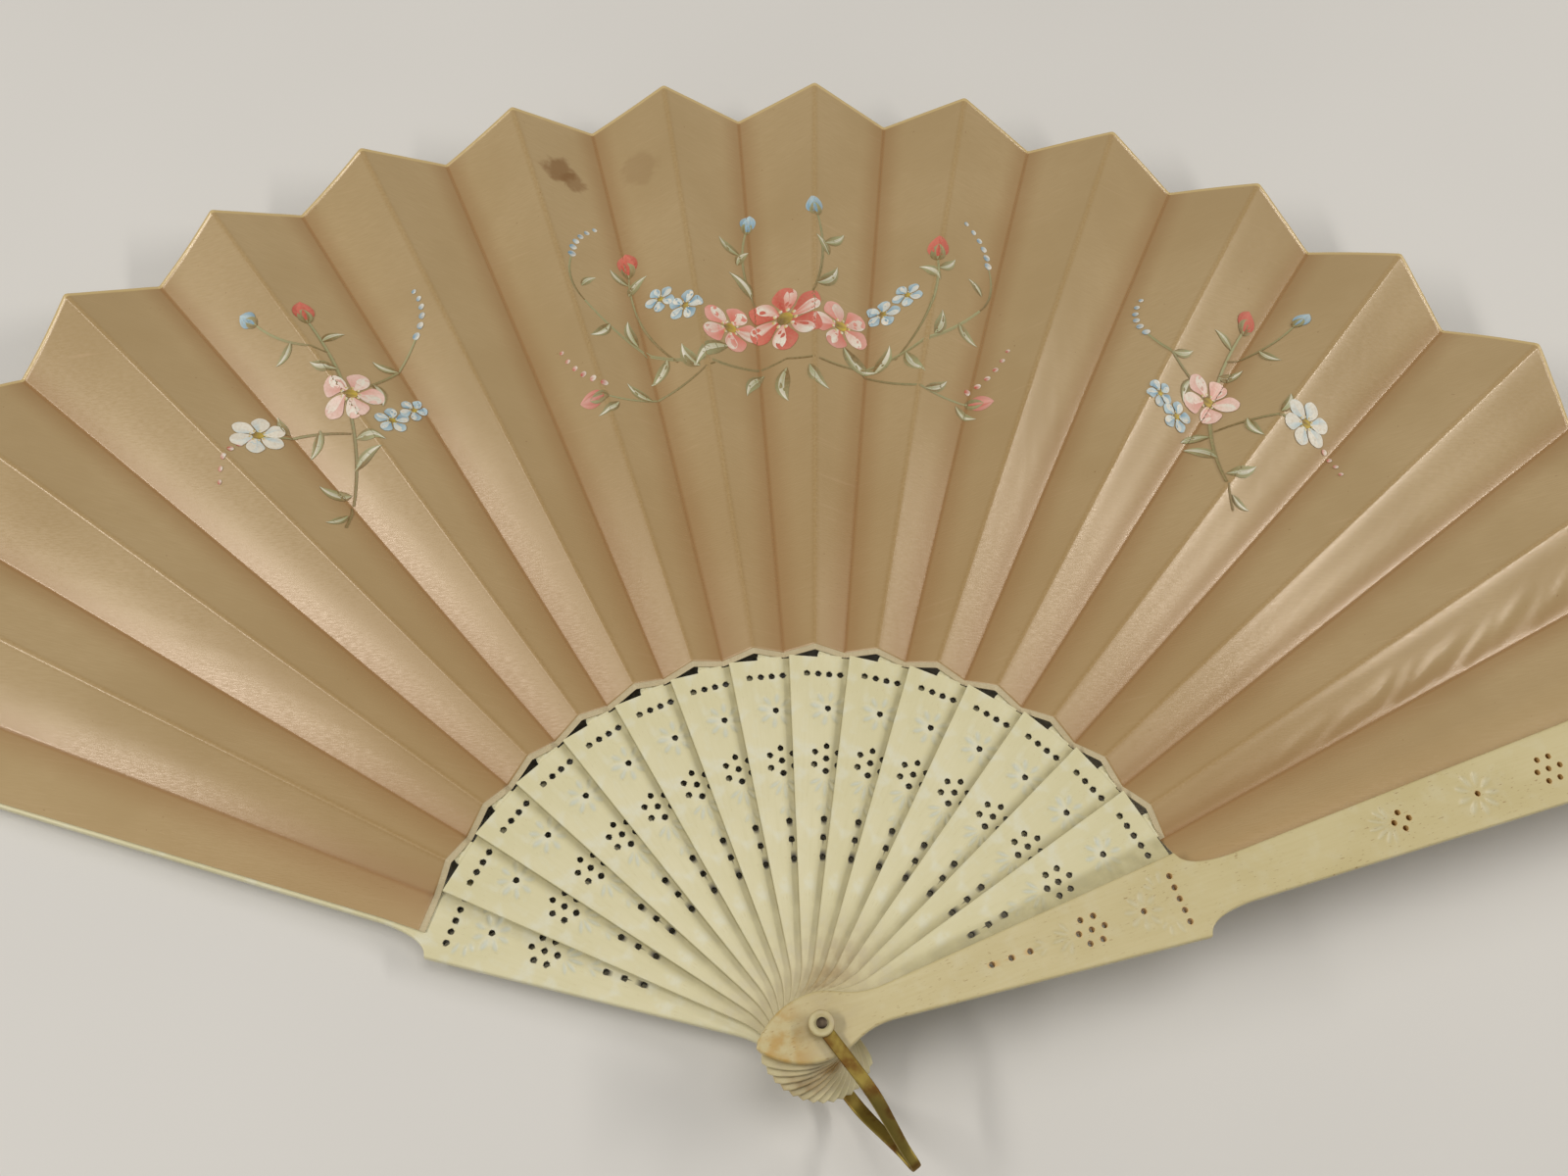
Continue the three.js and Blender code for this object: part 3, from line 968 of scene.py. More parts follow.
@dataclass
class Sticks:
    """The inner sticks: a pierced blade below the leaf and a thin slip that carries it."""

    sizes: FanSizes
    slip_r: float = 268.0
    slip_t: float = 0.4
    slip_half: tuple[float, float, float] = (3.3, 2.2, 1.7)
    slip_foot: float = 106.0
    slip_gap: float = 0.15
    soiled_near: float = 10.5
    soiled_spread: float = 2.2

    def blade(self) -> PiercedBlade:
        """The blade of one stick, along Y.

        Returns:
            The blade, before its mesh is made.
        """
        z = self.sizes
        outline = np.concatenate([head_outline(), [[z.gorge_half, z.gorge]]])
        rows = np.concatenate([head_rows(), np.linspace(50.0, z.gorge, 118)])
        return PiercedBlade("stick", -z.stick_t / 2, z.stick_t / 2, rows, outline,
                            np.array(gorge_holes()), gorge_gouges(), False)

    def slip(self) -> Mesh:
        """A thin strip carried along the stick: flat inside the blade, then turned to lie behind its panel.

        Each ring is a flat oval whose tilt follows the panel's, and whose middle drops behind the cloth.

        Returns:
            The strip's mesh.
        """
        z = self.sizes
        start = z.gorge - 3.0
        begin, end = math.hypot(z.gorge, z.gorge_half) + 0.05, z.low_edge + 0.3
        r = np.concatenate([[start], np.linspace(begin, end, 9), np.linspace(end, self.slip_r, 40)[1:]])
        share = smooth(r, begin, end)
        s, fold = z.slope, math.radians(z.fold)
        reach = np.maximum(r, z.inner)
        tilt = share * np.arctan2(s * reach - z.layer / 2, reach * math.sin(fold))
        half = np.interp(r, [start, self.slip_foot, self.slip_r], self.slip_half)
        half[-3:] *= [0.96, 0.8, 0.35]
        drop = share * (z.cloth / 2 + self.slip_gap + self.slip_t / 2) / np.cos(tilt)
        ring = np.linspace(0.0, 2 * np.pi, 17)[:-1]
        wide, thick = squared(np.cos(ring), 0.5), squared(np.sin(ring), 0.6) * self.slip_t / 2
        x = half[:, None] * wide * np.cos(tilt)[:, None] + thick * np.sin(tilt)[:, None]
        h = thick * np.cos(tilt)[:, None] - half[:, None] * wide * np.sin(tilt)[:, None] - drop[:, None]
        mesh = skinned("slip", np.stack([x, np.broadcast_to(r[:, None], x.shape), h], axis=-1))
        store_uv(mesh, "grain", points_of(mesh)[:, :2])
        for name in BONE_MARKS:
            store(mesh, name, np.array(0.0))
        return mesh

    def soil_and_shadow(self, mesh: Mesh, blade: PiercedBlade) -> None:
        """Stores the band beside the next stick's edge, partly dirt and partly that stick's shadow painted
        in, which fades out three millimetres from it.

        Args:
            mesh: the pierced blade, along Y.
            blade: what it was made from.
        """
        p, a = points_of(mesh), math.radians(self.sizes.pitch)
        x = p[:, 0] * math.cos(a) - p[:, 1] * math.sin(a)
        y = p[:, 0] * math.sin(a) + p[:, 1] * math.cos(a)
        store(mesh, "lap_soil_and_shadow", (1.0 - smooth(-blade.half(y) - x, 0.6, 3.1)) * smooth(y, 14.0, 28.0))

    def build(self, finish: Material) -> None:
        """Makes one stick and copies it to every layer, each a little different in tone and grime.

        Args:
            finish: the bone.
        """
        blade = self.blade()
        master = blade.pierced()
        blade.mark(master, (1.0, 34.0), (-30.0, -29.0))
        self.soil_and_shadow(master, blade)
        work = bmesh.new()
        work.from_mesh(master)
        work.from_mesh(self.slip())
        joined = bpy.data.meshes.new("stick_master")
        for name in BONE_MARKS:
            joined.attributes.new(name, "FLOAT", "POINT")
        work.to_mesh(joined)
        work.free()
        shade(joined, 32.0)
        grime = np.empty(len(joined.vertices), dtype=np.float32)
        joined.attributes["grime"].data.foreach_get("value", grime)
        tones = np.random.default_rng(5).uniform(0.0, 0.34, self.sizes.spaces)
        for i in range(1, self.sizes.spaces):
            mesh = joined.copy()
            mesh.name = f"bone_stick_{i:02d}"
            store(mesh, "tone", tones[i])
            soiled = math.exp(-(((i - self.soiled_near) / self.soiled_spread) ** 2))
            store(mesh, "grime", grime * (0.5 + 0.7 * soiled))
            mesh.transform(self.sizes.place(i))
            add_piece(mesh, [finish], f"stick_{i:02d}", f"stick_{i:02d}")


@dataclass
class Guards:
    """The two thick outer blades, gouged and pierced along their length."""

    sizes: FanSizes

    def blade(self) -> PiercedBlade:
        """A guard along Y, from its back face at z = 0.

        Returns:
            The blade, before its mesh is made.
        """
        z = self.sizes
        neck, end = z.gorge - 1.1, z.guard_tip - 12.0
        shoulder = bezier([(z.gorge_half, z.gorge - 1), (z.waist_half, z.gorge),
                           (z.waist_half, z.shoulder)], 24)
        tip = bezier([(z.tip_half, z.guard_tip - z.tip_round), (11.59, z.guard_tip), (0.0, z.guard_tip)], 24)
        tip[:, 1] += np.linspace(0.0, 1e-4, len(tip))
        outline = np.concatenate([head_outline(), shoulder, tip])
        rows = np.concatenate([head_rows(), np.linspace(50.0, neck, 112)[:-1],
                               np.linspace(neck, z.shoulder, 44)[:-1], np.linspace(z.shoulder, end, 420)[:-1],
                               z.guard_tip - 12.0 * np.cos(np.linspace(0, np.pi / 2, 30))])
        holes, gouges = gorge_holes(), gorge_gouges()
        for side in (-1, 1):
            gouges += [Gouge(side * 4.2, 84.4, side * 74.0, 3.4, 1.2, 0.28),
                       Gouge(side * 4.4, 83.0, side * 104.0, 3.0, 1.1, 0.28),
                       Gouge(side * 3.6, 82.4, side * 132.0, 2.6, 1.0, 0.26)]
        for y in (146.0, 208.5):
            bloom = y + 21.0
            holes += [(-2.0, y), (2.0, y), (0.0, y - 2.0), (0.0, y + 2.0), (0.0, bloom),
                      *hole_cluster(y + 41.0)]
            gouges += [*spray(y - 2.6, 180.0, 7, 78.0, 5.4, 0.28), *flower(bloom, 9, 1.7, 3.9, 1.7, 0.3)]
        return PiercedBlade("guard", 0.0, z.guard_t, rows, outline, np.array(holes), gouges, True, edge=0.5)

    def build(self, rear_finish: Material, front_finish: Material) -> None:
        """Makes a guard and sets it at either end of the fan, sloped away from the leaf.

        Args:
            rear_finish: the rear guard's bone.
            front_finish: the front guard's bone.
        """
        z = self.sizes
        blade = self.blade()
        master = blade.pierced()
        blade.mark(master, (0.3, 16.0), (-8.0, -1.0))
        slant = math.atan(z.slope)
        rear = (Matrix.Translation((0, 0, (z.rear_guard_z - z.guard_t) * MM))
                @ Matrix.Rotation(-math.radians(z.azimuth(0)), 4, "Z") @ Matrix.Rotation(-slant, 4, "X"))
        front = (Matrix.Translation((0, 0, z.front_guard_z * MM))
                 @ Matrix.Rotation(-math.radians(z.azimuth(z.spaces) + z.lead), 4, "Z")
                 @ Matrix.Rotation(slant, 4, "X"))
        for name, place, finish in (("rear_guard", rear, rear_finish), ("front_guard", front, front_finish)):
            mesh = master.copy()
            mesh.name = "bone_" + name
            store(mesh, "tone", np.array(0.1))
            mesh.transform(place)
            add_piece(mesh, [finish], name, name)


@dataclass(frozen=True)
class Fold:
    """How a panel meets a fold: up (1), down (-1) or none (0), its share of the bend, rounding, and whether
    it is marked: wear along a mountain fold, painted shade along a valley fold.
    """

    sign: int
    share: float = 1.0
    reach: float = 0.035
    worn: bool = True


class PanelKind(Enum):
    """How a panel of the leaf is held: glued to a stick, free between two folds, or glued to a guard."""

    GLUED = "glued"
    FREE = "free"
    REAR = "rear"
    FRONT = "front"


@dataclass
class LeafPanel:
    """One panel of the leaf between two folds, u across it and v from its lower edge to the rim."""

    sizes: FanSizes
    kind: PanelKind
    layer: int
    guard_inset: float = 0.9
    glued_wave: tuple[float, float] = (1.2, 2.8)
    free_wave: tuple[float, float] = (0.6, 0.35)
    crumple: float = 0.42
    pucker: float = 0.05
    flat_pitch: float = 10.55
    flat_wide: float = 5.27
    hem: float = 0.16
    band_step: float = 0.06
    band_thin: float = 0.07

    @property
    def name(self) -> str:
        """The solid that the panel stands for."""
        part = "pleat" if self.kind is PanelKind.FREE else "panel"
        return f"leaf_{part}_{self.layer:02d}"

    @property
    def body(self) -> str:
        """The moving body that carries the panel.

        Returns:
            The body's name.
        """
        if self.kind is PanelKind.FREE:
            return f"pleat_{self.layer:02d}"
        if self.kind is PanelKind.GLUED:
            return f"stick_{self.layer:02d}"
        return "rear_guard" if self.kind is PanelKind.REAR else "front_guard"

    def guard_edge(self, side: int, azimuth: float, r: Array, z: Array) -> Array:
        """Points just inside a guard's edge at radius r."""
        x = side * (self.sizes.guard_half(r) - self.guard_inset)
        return turned(np.stack([x, np.sqrt(r * r - x * x), z], axis=-1), azimuth)

    def edges(self, v: Array) -> tuple[Array, Array]:
        """The panel's left and right edges, seen from its own stick.

        A mountain fold climbs with the radius, and a valley fold falls with it.

        Args:
            v: shares of the panel's depth, 0 at the lower edge.

        Returns:
            The left edge's points and the right edge's.
        """
        z, s, q, half = self.sizes, self.sizes.slope, self.sizes.fold, self.sizes.layer / 2
        top = z.low_edge if self.beside_front else z.high_edge
        high, low = top + (z.rim - top) * v, z.low_edge + (z.notch - z.low_edge) * v
        mountain, valley = polar(high, -q, s * high - half), polar(low, q, half - s * low)
        if self.kind is PanelKind.GLUED:
            return mountain, valley
        if self.kind is PanelKind.FREE:
            return valley, polar(high, 3 * q, half + s * high)
        if self.kind is PanelKind.REAR:
            return self.guard_edge(-1, 0.0, low, half - s * low), valley
        return mountain, self.guard_edge(1, z.lead, low, s * low - half)

    @property
    def beside_front(self) -> bool:
        """Whether the panel is one of the two that run under the front guard with no crease between them."""
        last = self.layer == self.sizes.spaces - 1
        return self.kind is PanelKind.FRONT or self.kind is PanelKind.FREE and last

    def folds(self) -> tuple[Fold, Fold]:
        """How the left and right edges fold; a fold beside a guard bends half as far.

        Returns:
            The left fold and the right one.
        """
        mountain = Fold(1, 0.5, 0.25, False) if self.beside_front else Fold(1)
        valley = Fold(-1, 0.5) if self.kind is PanelKind.REAR or self.layer == 0 else Fold(-1)
        return {PanelKind.GLUED: (mountain, valley), PanelKind.FREE: (valley, mountain),
                PanelKind.REAR: (Fold(0), valley), PanelKind.FRONT: (mountain, Fold(0))}[self.kind]

    def billow(self, u: Array, v: Array, width: Array) -> Array:
        """How far the cloth stands off a straight panel: one slow wave across it and small puckers along it.

        A glued panel lifts only beside its folds, and the last one is crumpled.

        Args:
            u: shares of the panel's width.
            v: shares of its depth, 0 at the lower edge.
            width: the panel's width at v.

        Returns:
            The distance at each point.
        """
        share = width / 25.0
        lean = float(np.clip(self.sizes.azimuth(self.layer) / 40.0, -1.0, 1.0))
        t = 2 * u - 1
        edge = t**3 * (np.abs(t) - 1) * (0.75 + 0.25 * t)
        wave = {PanelKind.GLUED: self.glued_wave[lean >= 0] * lean * edge,
                PanelKind.FREE: self.free_wave[lean >= 0] * lean * np.sin(np.pi * u)}
        slow = wave.get(self.kind, np.zeros_like(u)) * share
        draw = np.random.default_rng(40 + 2 * self.layer + (self.kind is PanelKind.FREE))
        fine = np.zeros_like(u)
        for along, across in zip(draw.uniform(5.0, 26.0, 7), draw.uniform(0.5, 3.2, 7)):
            phase = draw.uniform(0.0, 2 * np.pi)
            fine = fine + np.sin(2 * np.pi * (along * v + across * u) + phase) / along**0.7
        if self.kind is PanelKind.GLUED and self.layer == self.sizes.spaces - 1:
            where = np.exp(-(((u - 0.7) / 0.2) ** 2)) * smooth(v, 0.05, 0.4)
            slow = slow + self.crumple * np.maximum(fine, -0.35) * where
        return slow + self.pucker * np.abs(fine) * np.sin(np.pi * np.clip(u, 0, 1)) * share

    def point(self, u: Array, v: Array) -> Array:
        """The middle of the cloth: a straight line between the two edges, rounded off at each fold by a
        parabola, with the billow on top.

        Args:
            u: shares of the panel's width.
            v: shares of its depth, 0 at the lower edge.

        Returns:
            The points, seen from the panel's stick.
        """
        z = self.sizes
        left, right = self.edges(v)
        across = right - left
        place = left + across * u[..., None]
        width = np.linalg.norm(across, axis=-1)
        r = z.inner + (z.rim - z.inner) * v
        chord = 2 * r * math.sin(math.radians(z.fold))
        steep = (2 * z.slope * r - z.layer / 2) / chord
        for fold, away in zip(self.folds(), (u * width, (1 - u) * width)):
            reach = fold.reach * chord
            inside = np.clip(reach - away, 0.0, None)
            place[..., 2] -= fold.sign * fold.share * steep * inside**2 / (2 * reach)
        place[..., 2] += self.billow(u, v, width)
        return place

    def normal(self, u: Array, v: Array) -> Array:
        """The cloth's direction towards the front, from small steps across and along it.

        Args:
            u: shares of the panel's width.
            v: shares of its depth, 0 at the lower edge.

        Returns:
            A direction of length 1 for each point.
        """
        d = 2e-3
        across = self.point(u + d, v) - self.point(u - d, v)
        along = self.point(u, v + d) - self.point(u, v - d)
        n = np.cross(across, along)
        return n / np.linalg.norm(n, axis=-1, keepdims=True)

    def placed(self, points: Array) -> Array:
        """Points seen from the panel's stick, put in the fan's frame.

        Args:
            points: the points seen from the stick.

        Returns:
            The same points in the frame.
        """
        world = turned(points, self.sizes.azimuth(self.layer))
        world[..., 2] += self.sizes.height(self.layer)
        return world

    def flat_place(self, u: Array, v: Array) -> Array:
        """Where the cloth lay before it was pleated: the same radius, on a leaf opened flat.

        Args:
            u: shares of the panel's width.
            v: shares of its depth, 0 at the lower edge.

        Returns:
            Flat x and y for each point.
        """
        turn = (self.layer - self.sizes.spaces / 2) * self.flat_pitch + (u - 0.5) * self.flat_wide
        turn = np.radians(turn + (self.flat_wide if self.kind is PanelKind.FREE else 0.0))
        r = self.sizes.inner + (self.sizes.rim - self.sizes.inner) * v
        return np.stack([r * np.sin(turn), r * np.cos(turn)], axis=-1)

    def build(self, satin: Material, lining: Material) -> Piece:
        """Makes the panel as a thin closed sheet with a satin front, a lined back and a rolled hem.

        Args:
            satin: the front's finish.
            lining: the finish of the back and of the band along the lower edge.

        Returns:
            The panel's object.
        """
        z = self.sizes
        long = z.rim - z.inner
        foot = np.array([0, 0.4, 0.8, z.band, z.band + self.band_step, 2.0, 2.6])
        top = np.array([2.4, 1.6, 1.1, 0.8, 0.5, 0.25, 0.0])
        rows = np.concatenate([foot / long, np.linspace(4.0 / long, 0.98, 84), 1.0 - top / long])
        edge = np.array([0, 0.004, 0.009, 0.015, 0.022, 0.03, 0.042, 0.065])
        cols = np.concatenate([edge, np.linspace(0.1, 0.9, 21), 1.0 - edge[::-1]])
        v, u = np.meshgrid(rows, cols, indexing="ij")
        middle, out = self.point(u, v), self.normal(u, v)
        from_rim, from_edge = (1.0 - v) * long, v * long
        has_band = not self.beside_front
        step = smooth(from_edge, z.band, z.band + self.band_step) if has_band else np.ones_like(v)
        thick = z.cloth / 2 - self.band_thin * (1.0 - step)
        hem = self.hem * np.sqrt(np.clip(1.0 - ((from_rim - 0.45) / 0.6) ** 2, 0.0, 1.0))
        front = middle + out * (thick + hem)[..., None]
        back = middle - out * (z.cloth / 2 + 0.6 * hem)[..., None]
        points = self.placed(np.concatenate([front.reshape(-1, 3), back.reshape(-1, 3)]))
        quads = sheet_quads(*v.shape)
        mesh = write_mesh("satin_" + self.name, points, quads, 50.0)
        width = np.linalg.norm(np.subtract(*self.edges(v)), axis=-1)
        # Distances from the marked folds: the satin shows wear along a mountain and painted shade along a
        # valley.
        from_fold = dict.fromkeys((1, -1), np.full_like(v, 99.0))
        for fold, away in zip(self.folds(), (u * width, (1 - u) * width)):
            if fold.sign and fold.worn:
                from_fold[fold.sign] = away
        for name, values in (("mountain", from_fold[1]), ("valley", from_fold[-1]), ("rim", from_rim)):
            store(mesh, name, np.tile(values.ravel(), 2))
        store_uv(mesh, "cloth", np.tile(self.flat_place(u, v).reshape(-1, 2), (2, 1)))
        cells = (v.shape[0] - 1) * (v.shape[1] - 1)
        lined = np.ones(len(quads), dtype=np.int32)
        lined[:cells] = (from_edge[:-1, :-1].ravel() < z.band - 0.05) & has_band
        walls = quads[2 * cells:, 0] % v.size
        lined[2 * cells:] = from_rim.ravel()[walls] > 1.0
        mesh.polygons.foreach_set("material_index", lined)
        return add_piece(mesh, [satin, lining], self.body, self.name)

    def declare(self, piece: Piece, painted: list[Piece]) -> None:
        """Works out the panel's widths at its lower edge and at its rim, and does nothing with them.

        Args:
            piece: the panel's object; not used.
            painted: the painted pieces on it; not used.
        """
        inner, outer = np.linalg.norm(np.subtract(*self.edges(np.array([0.0, 1.0]))), axis=-1)


class Mark(Enum):
    """The shape that a brush leaves."""

    PETAL = "petal"
    LEAF = "leaf"
    STEM = "stem"
    DAB = "dab"


@dataclass
class Painting:
    """Generic blossom sprays, painted across the folds of the leaf in separate brush marks."""

    sizes: FanSizes
    rows: int = 27
    cols: int = 5
    grids: list[Array] = field(default_factory=list)
    tints: list[Array] = field(default_factory=list)
    pink: Colour = srgb(230, 172, 160)
    blush: Colour = srgb(246, 214, 202)
    coral: Colour = srgb(196, 84, 68)
    rose: Colour = srgb(220, 120, 104)
    blue: Colour = srgb(112, 158, 184)
    sky: Colour = srgb(190, 214, 222)
    white: Colour = srgb(238, 234, 220)
    yellow: Colour = srgb(208, 182, 70)
    olive: Colour = srgb(128, 104, 58)
    sage: Colour = srgb(166, 170, 126)

    def mark(self, form: Mark, line: Array, width: float, root: Colour, tip: Colour) -> None:
        """Lays one brush mark.

        Args:
            form: how the mark swells along its length.
            line: three points of the stroke, in the spray's own millimetres.
            width: its greatest width.
            root: the colour where the brush lands.
            tip: the colour where it lifts.
        """
        t = np.linspace(0.0, 1.0, self.rows)
        middle = bezier(line, self.rows)
        along = np.gradient(middle, axis=0)
        along /= np.linalg.norm(along, axis=1, keepdims=True) + 1e-9
        side = np.stack([along[:, 1], -along[:, 0]], axis=1)
        swell = {Mark.PETAL: np.sin(np.pi * t**1.6) ** 0.6, Mark.LEAF: np.sin(np.pi * t**0.8),
                 Mark.STEM: 0.35 + 0.65 * np.sin(np.pi * (0.15 + 0.7 * t)),
                 Mark.DAB: np.sin(np.pi * t) ** 0.5}[form]
        swell = np.maximum(swell, 0.04)
        across = np.linspace(-0.5, 0.5, self.cols)
        self.grids.append(middle[:, None] + (side * (swell * width)[:, None])[:, None] * across[:, None])
        seed = np.random.default_rng(len(self.grids))
        share = np.clip(t[:, None] + 0.35 * seed.uniform(-1, 1, (1, self.cols)), 0.0, 1.0)[..., None]
        tint = np.array(root) * (1 - share) + np.array(tip) * share
        self.tints.append(tint * seed.uniform(0.92, 1.06))

    def blossom(self, x: float, y: float, size: float, petals: int, root: Colour, tip: Colour,
                squash: float = 1.0, turn: float = 0.0) -> None:
        """An open flower: broad petals, each of two marks, and a stippled heart.

        Args:
            x: its place across the spray.
            y: its place up the spray.
            size: a petal's length.
            petals: how many petals there are.
            root: their colour at the heart.
            tip: their colour further out.
            squash: the flower's height as a share of its width.
            turn: the first petal's azimuth.
        """
        centre = np.array([x, y])
        flat = np.array([1.0, squash])
        for k in range(petals):
            a = 2 * math.pi * (k / petals) + math.radians(turn)
            for lean, wide, far, ends in ((-0.1, 0.95, 1.0, (root, tip)),
                                          (0.16, 0.55, 0.93, (tip, self.white))):
                out, bend, reach = heading(a + lean) * flat, heading(a + lean + 0.2) * flat, size * far
                self.mark(Mark.PETAL, [centre + 0.16 * reach * out, centre + 0.6 * reach * bend,
                                       centre + reach * out], size * wide * 3.9 / petals * 0.95, *ends)
        self.mark(Mark.DAB, [centre - [0.2 * size, 0], centre, centre + [0.2 * size, 0]], 0.4 * size * squash,
                  self.olive, self.yellow)
        for k in range(9):
            spot = centre + heading(2 * math.pi * k / 9 + 0.3) * flat * size * 0.27
            self.dab(*spot, 0.1 * size, self.yellow)

    def dab(self, x: float, y: float, size: float, tint: Colour) -> None:
        """One round touch of the brush."""
        line = [[x - size / 2, y], [x, y + 0.1 * size], [x + size / 2, y]]
        self.mark(Mark.DAB, line, size, tint, self.white)

    def stem(self, *line: tuple[float, float], width: float = 0.75) -> None:
        """One drawn stalk."""
        self.mark(Mark.STEM, line, width, self.olive, self.sage)

    def leaf(self, x: float, y: float, azimuth: float, length: float, curl: float = 0.25) -> None:
        """A leaf of two marks, the second a light half along its side.

        Args:
            x: its place across the spray.
            y: its place up the spray.
            azimuth: where it points.
            length: its length.
            curl: its bend as a share of its length.
        """
        a = math.radians(azimuth)
        start, end = np.array([x, y]), np.array([x + length * math.sin(a), y + length * math.cos(a)])
        side = np.array([math.cos(a), -math.sin(a)]) * length * curl
        bend = (start + end) / 2 + side
        self.mark(Mark.LEAF, [start, bend, end], 0.36 * length, self.olive, self.sage)
        self.mark(Mark.LEAF, [start, bend + 0.22 * side, end], 0.14 * length, self.sage, self.white)

    def bud(self, x: float, y: float, azimuth: float, size: float, root: Colour, tip: Colour) -> None:
        """A closed flower in its cup.

        Args:
            x: its place across the spray.
            y: its place up the spray.
            azimuth: where it points.
            size: its length.
            root: its colour at the foot.
            tip: its colour at the end.
        """
        a = math.radians(azimuth)
        out, side = heading(a), np.array([math.cos(a), -math.sin(a)])
        foot = np.array([x, y])
        for lean in (-0.3, 0.3, 0.0):
            self.mark(Mark.LEAF, [foot, foot + size * (0.5 * out + lean * side), foot + size * out],
                      0.5 * size, root, tip)
        for lean in (-0.35, 0.35):
            self.mark(Mark.LEAF, [foot - 0.2 * size * out, foot + size * (0.2 * out + lean * side),
                                  foot + 0.6 * size * out], 0.22 * size, self.olive, self.sage)

    def berries(self, line: Array, count: int, size: float, tint: Colour) -> None:
        """Touches set along a curve, smaller towards its end."""
        for k, (x, y) in enumerate(bezier(line, count)):
            self.dab(x, y, size * (1.0 - 0.45 * k / count), tint)

    def garland(self) -> None:
        """The middle design: a crescent of leaves and blossoms, with buds and berries on its arms."""
        for m in (-1, 1):
            self.stem((0, -10), (m * 30, -20), (m * 56, 8), width=0.95)
            self.stem((m * 30, -11), (m * 44, 4), (m * 44, 22))
            self.stem((m * 20, -13), (m * 34, -24), (m * 50, -24))
            self.stem((m * 6, 6), (m * 14, 22), (m * 10, 38))
            self.stem((m * 56, 8), (m * 62, 14), (m * 60, 24), width=0.6)
            for x, y, turn, size in ((24, -14, 30, 10), (33, -9, 150, 9), (41, -4, 20, 9), (49, 2, 140, 8),
                                     (44, 14, -40, 8), (44, 18, 50, 7), (37, -22, 60, 8), (46, -25, 130, 7),
                                     (13, 24, -30, 7), (12, 28, 50, 8), (57, 13, -40, 6)):
                self.leaf(m * x, y, m * turn, size, 0.2 * m)
            self.bud(m * 44, 22, m * 8, 7.5, self.coral, self.rose)
            self.bud(m * 50, -24, m * 96, 6.5, self.coral, self.pink)
            self.bud(m * 10, 38, m * -12, 6.0, self.blue, self.sky)
            self.berries([(m * 60, 24), (m * 60, 31), (m * 54, 36)], 6, 2.2, self.blue)
            self.berries([(m * 50, -20), (m * 58, -16), (m * 62, -8)], 6, 1.9, self.coral)
        for x, y, turn, size in ((-16, -6, 230, 12), (16, -6, 130, 12), (0, -13, 180, 11), (-9, 13, -40, 10),
                                 (9, 13, 40, 10), (-6, -14, 215, 9), (6, -14, 145, 9)):
            self.leaf(x, y, turn, size)
        self.blossom(-15.5, 0.5, 8.6, 5, self.rose, self.pink, 0.9, 20.0)
        self.blossom(15.5, 0.5, 8.6, 5, self.rose, self.pink, 0.9, -20.0)
        self.blossom(0.0, 3.5, 11.0, 6, self.coral, self.rose, 0.95)
        for m in (-1, 1):
            self.blossom(m * 28.0, 6.5, 4.8, 5, self.blue, self.sky, 0.95, 12.0)
            self.blossom(m * 35.0, 11.0, 4.2, 5, self.blue, self.sky, 0.95, 40.0)

    def sprig(self, m: int) -> None:
        """A side design: one curved stalk with two blossoms, bell buds and berries; m mirrors it.

        Args:
            m: 1, or -1 for the mirrored design.
        """
        self.stem((m * 4, -34), (m * -10, -4), (m * 4, 30), width=0.95)
        self.stem((m * -2, -8), (m * 12, 0), (m * 24, -2))
        self.stem((m * -3, 4), (m * -16, 8), (m * -24, 20))
        self.stem((0, 18), (m * 12, 24), (m * 18, 34), width=0.6)
        for x, y, turn, size in ((1, -24, 60, 9), (-1, -18, -70, 9), (-3, -10, -110, 8), (6, -3, 150, 8),
                                 (14, -1, 20, 7), (-10, 7, 190, 8), (-17, 12, 60, 7), (-2, 12, 60, 8),
                                 (1, 22, -60, 7), (9, 24, 130, 7), (3, -30, 110, 6)):
            self.leaf(m * x, y, m * turn, size, 0.2 * m)
        self.bud(m * 4, 30, m * 8, 7.0, self.coral, self.rose)
        self.bud(m * 18, 34, m * 40, 5.5, self.blue, self.sky)
        self.berries([(m * -24, 20), (m * -29, 26), (m * -26, 33)], 6, 2.1, self.blue)
        self.berries([(m * 24, -3), (m * 31, -6), (m * 33, -14)], 6, 1.9, self.coral)
        self.blossom(m * 22.0, -1.0, 7.2, 6, self.sky, self.white, 0.9, 10.0)
        self.blossom(m * -4.0, 3.0, 8.2, 5, self.pink, self.blush, 0.95, 25.0)
        self.blossom(m * -13.0, -6.0, 4.4, 5, self.blue, self.sky, 1.0, 0.0)
        self.blossom(m * -19.0, -2.0, 3.8, 5, self.blue, self.sky, 1.0, 30.0)

    def settle(self, first: int, azimuth: float, r: float, lean: float) -> None:
        """Carries the marks laid since first from a spray's own place to theirs on the open fan.

        Args:
            first: the first mark to carry.
            azimuth: the spray's azimuth on the fan.
            r: the radius of its middle.
            lean: its turn about its own middle.
        """
        for k in range(first, len(self.grids)):
            x, y = self.grids[k][..., 0], self.grids[k][..., 1]
            flat = np.stack([x, y, np.zeros_like(x)], axis=-1)
            self.grids[k] = turned(turned(flat, lean) + [0.0, r, 0.0], azimuth)[..., :2]

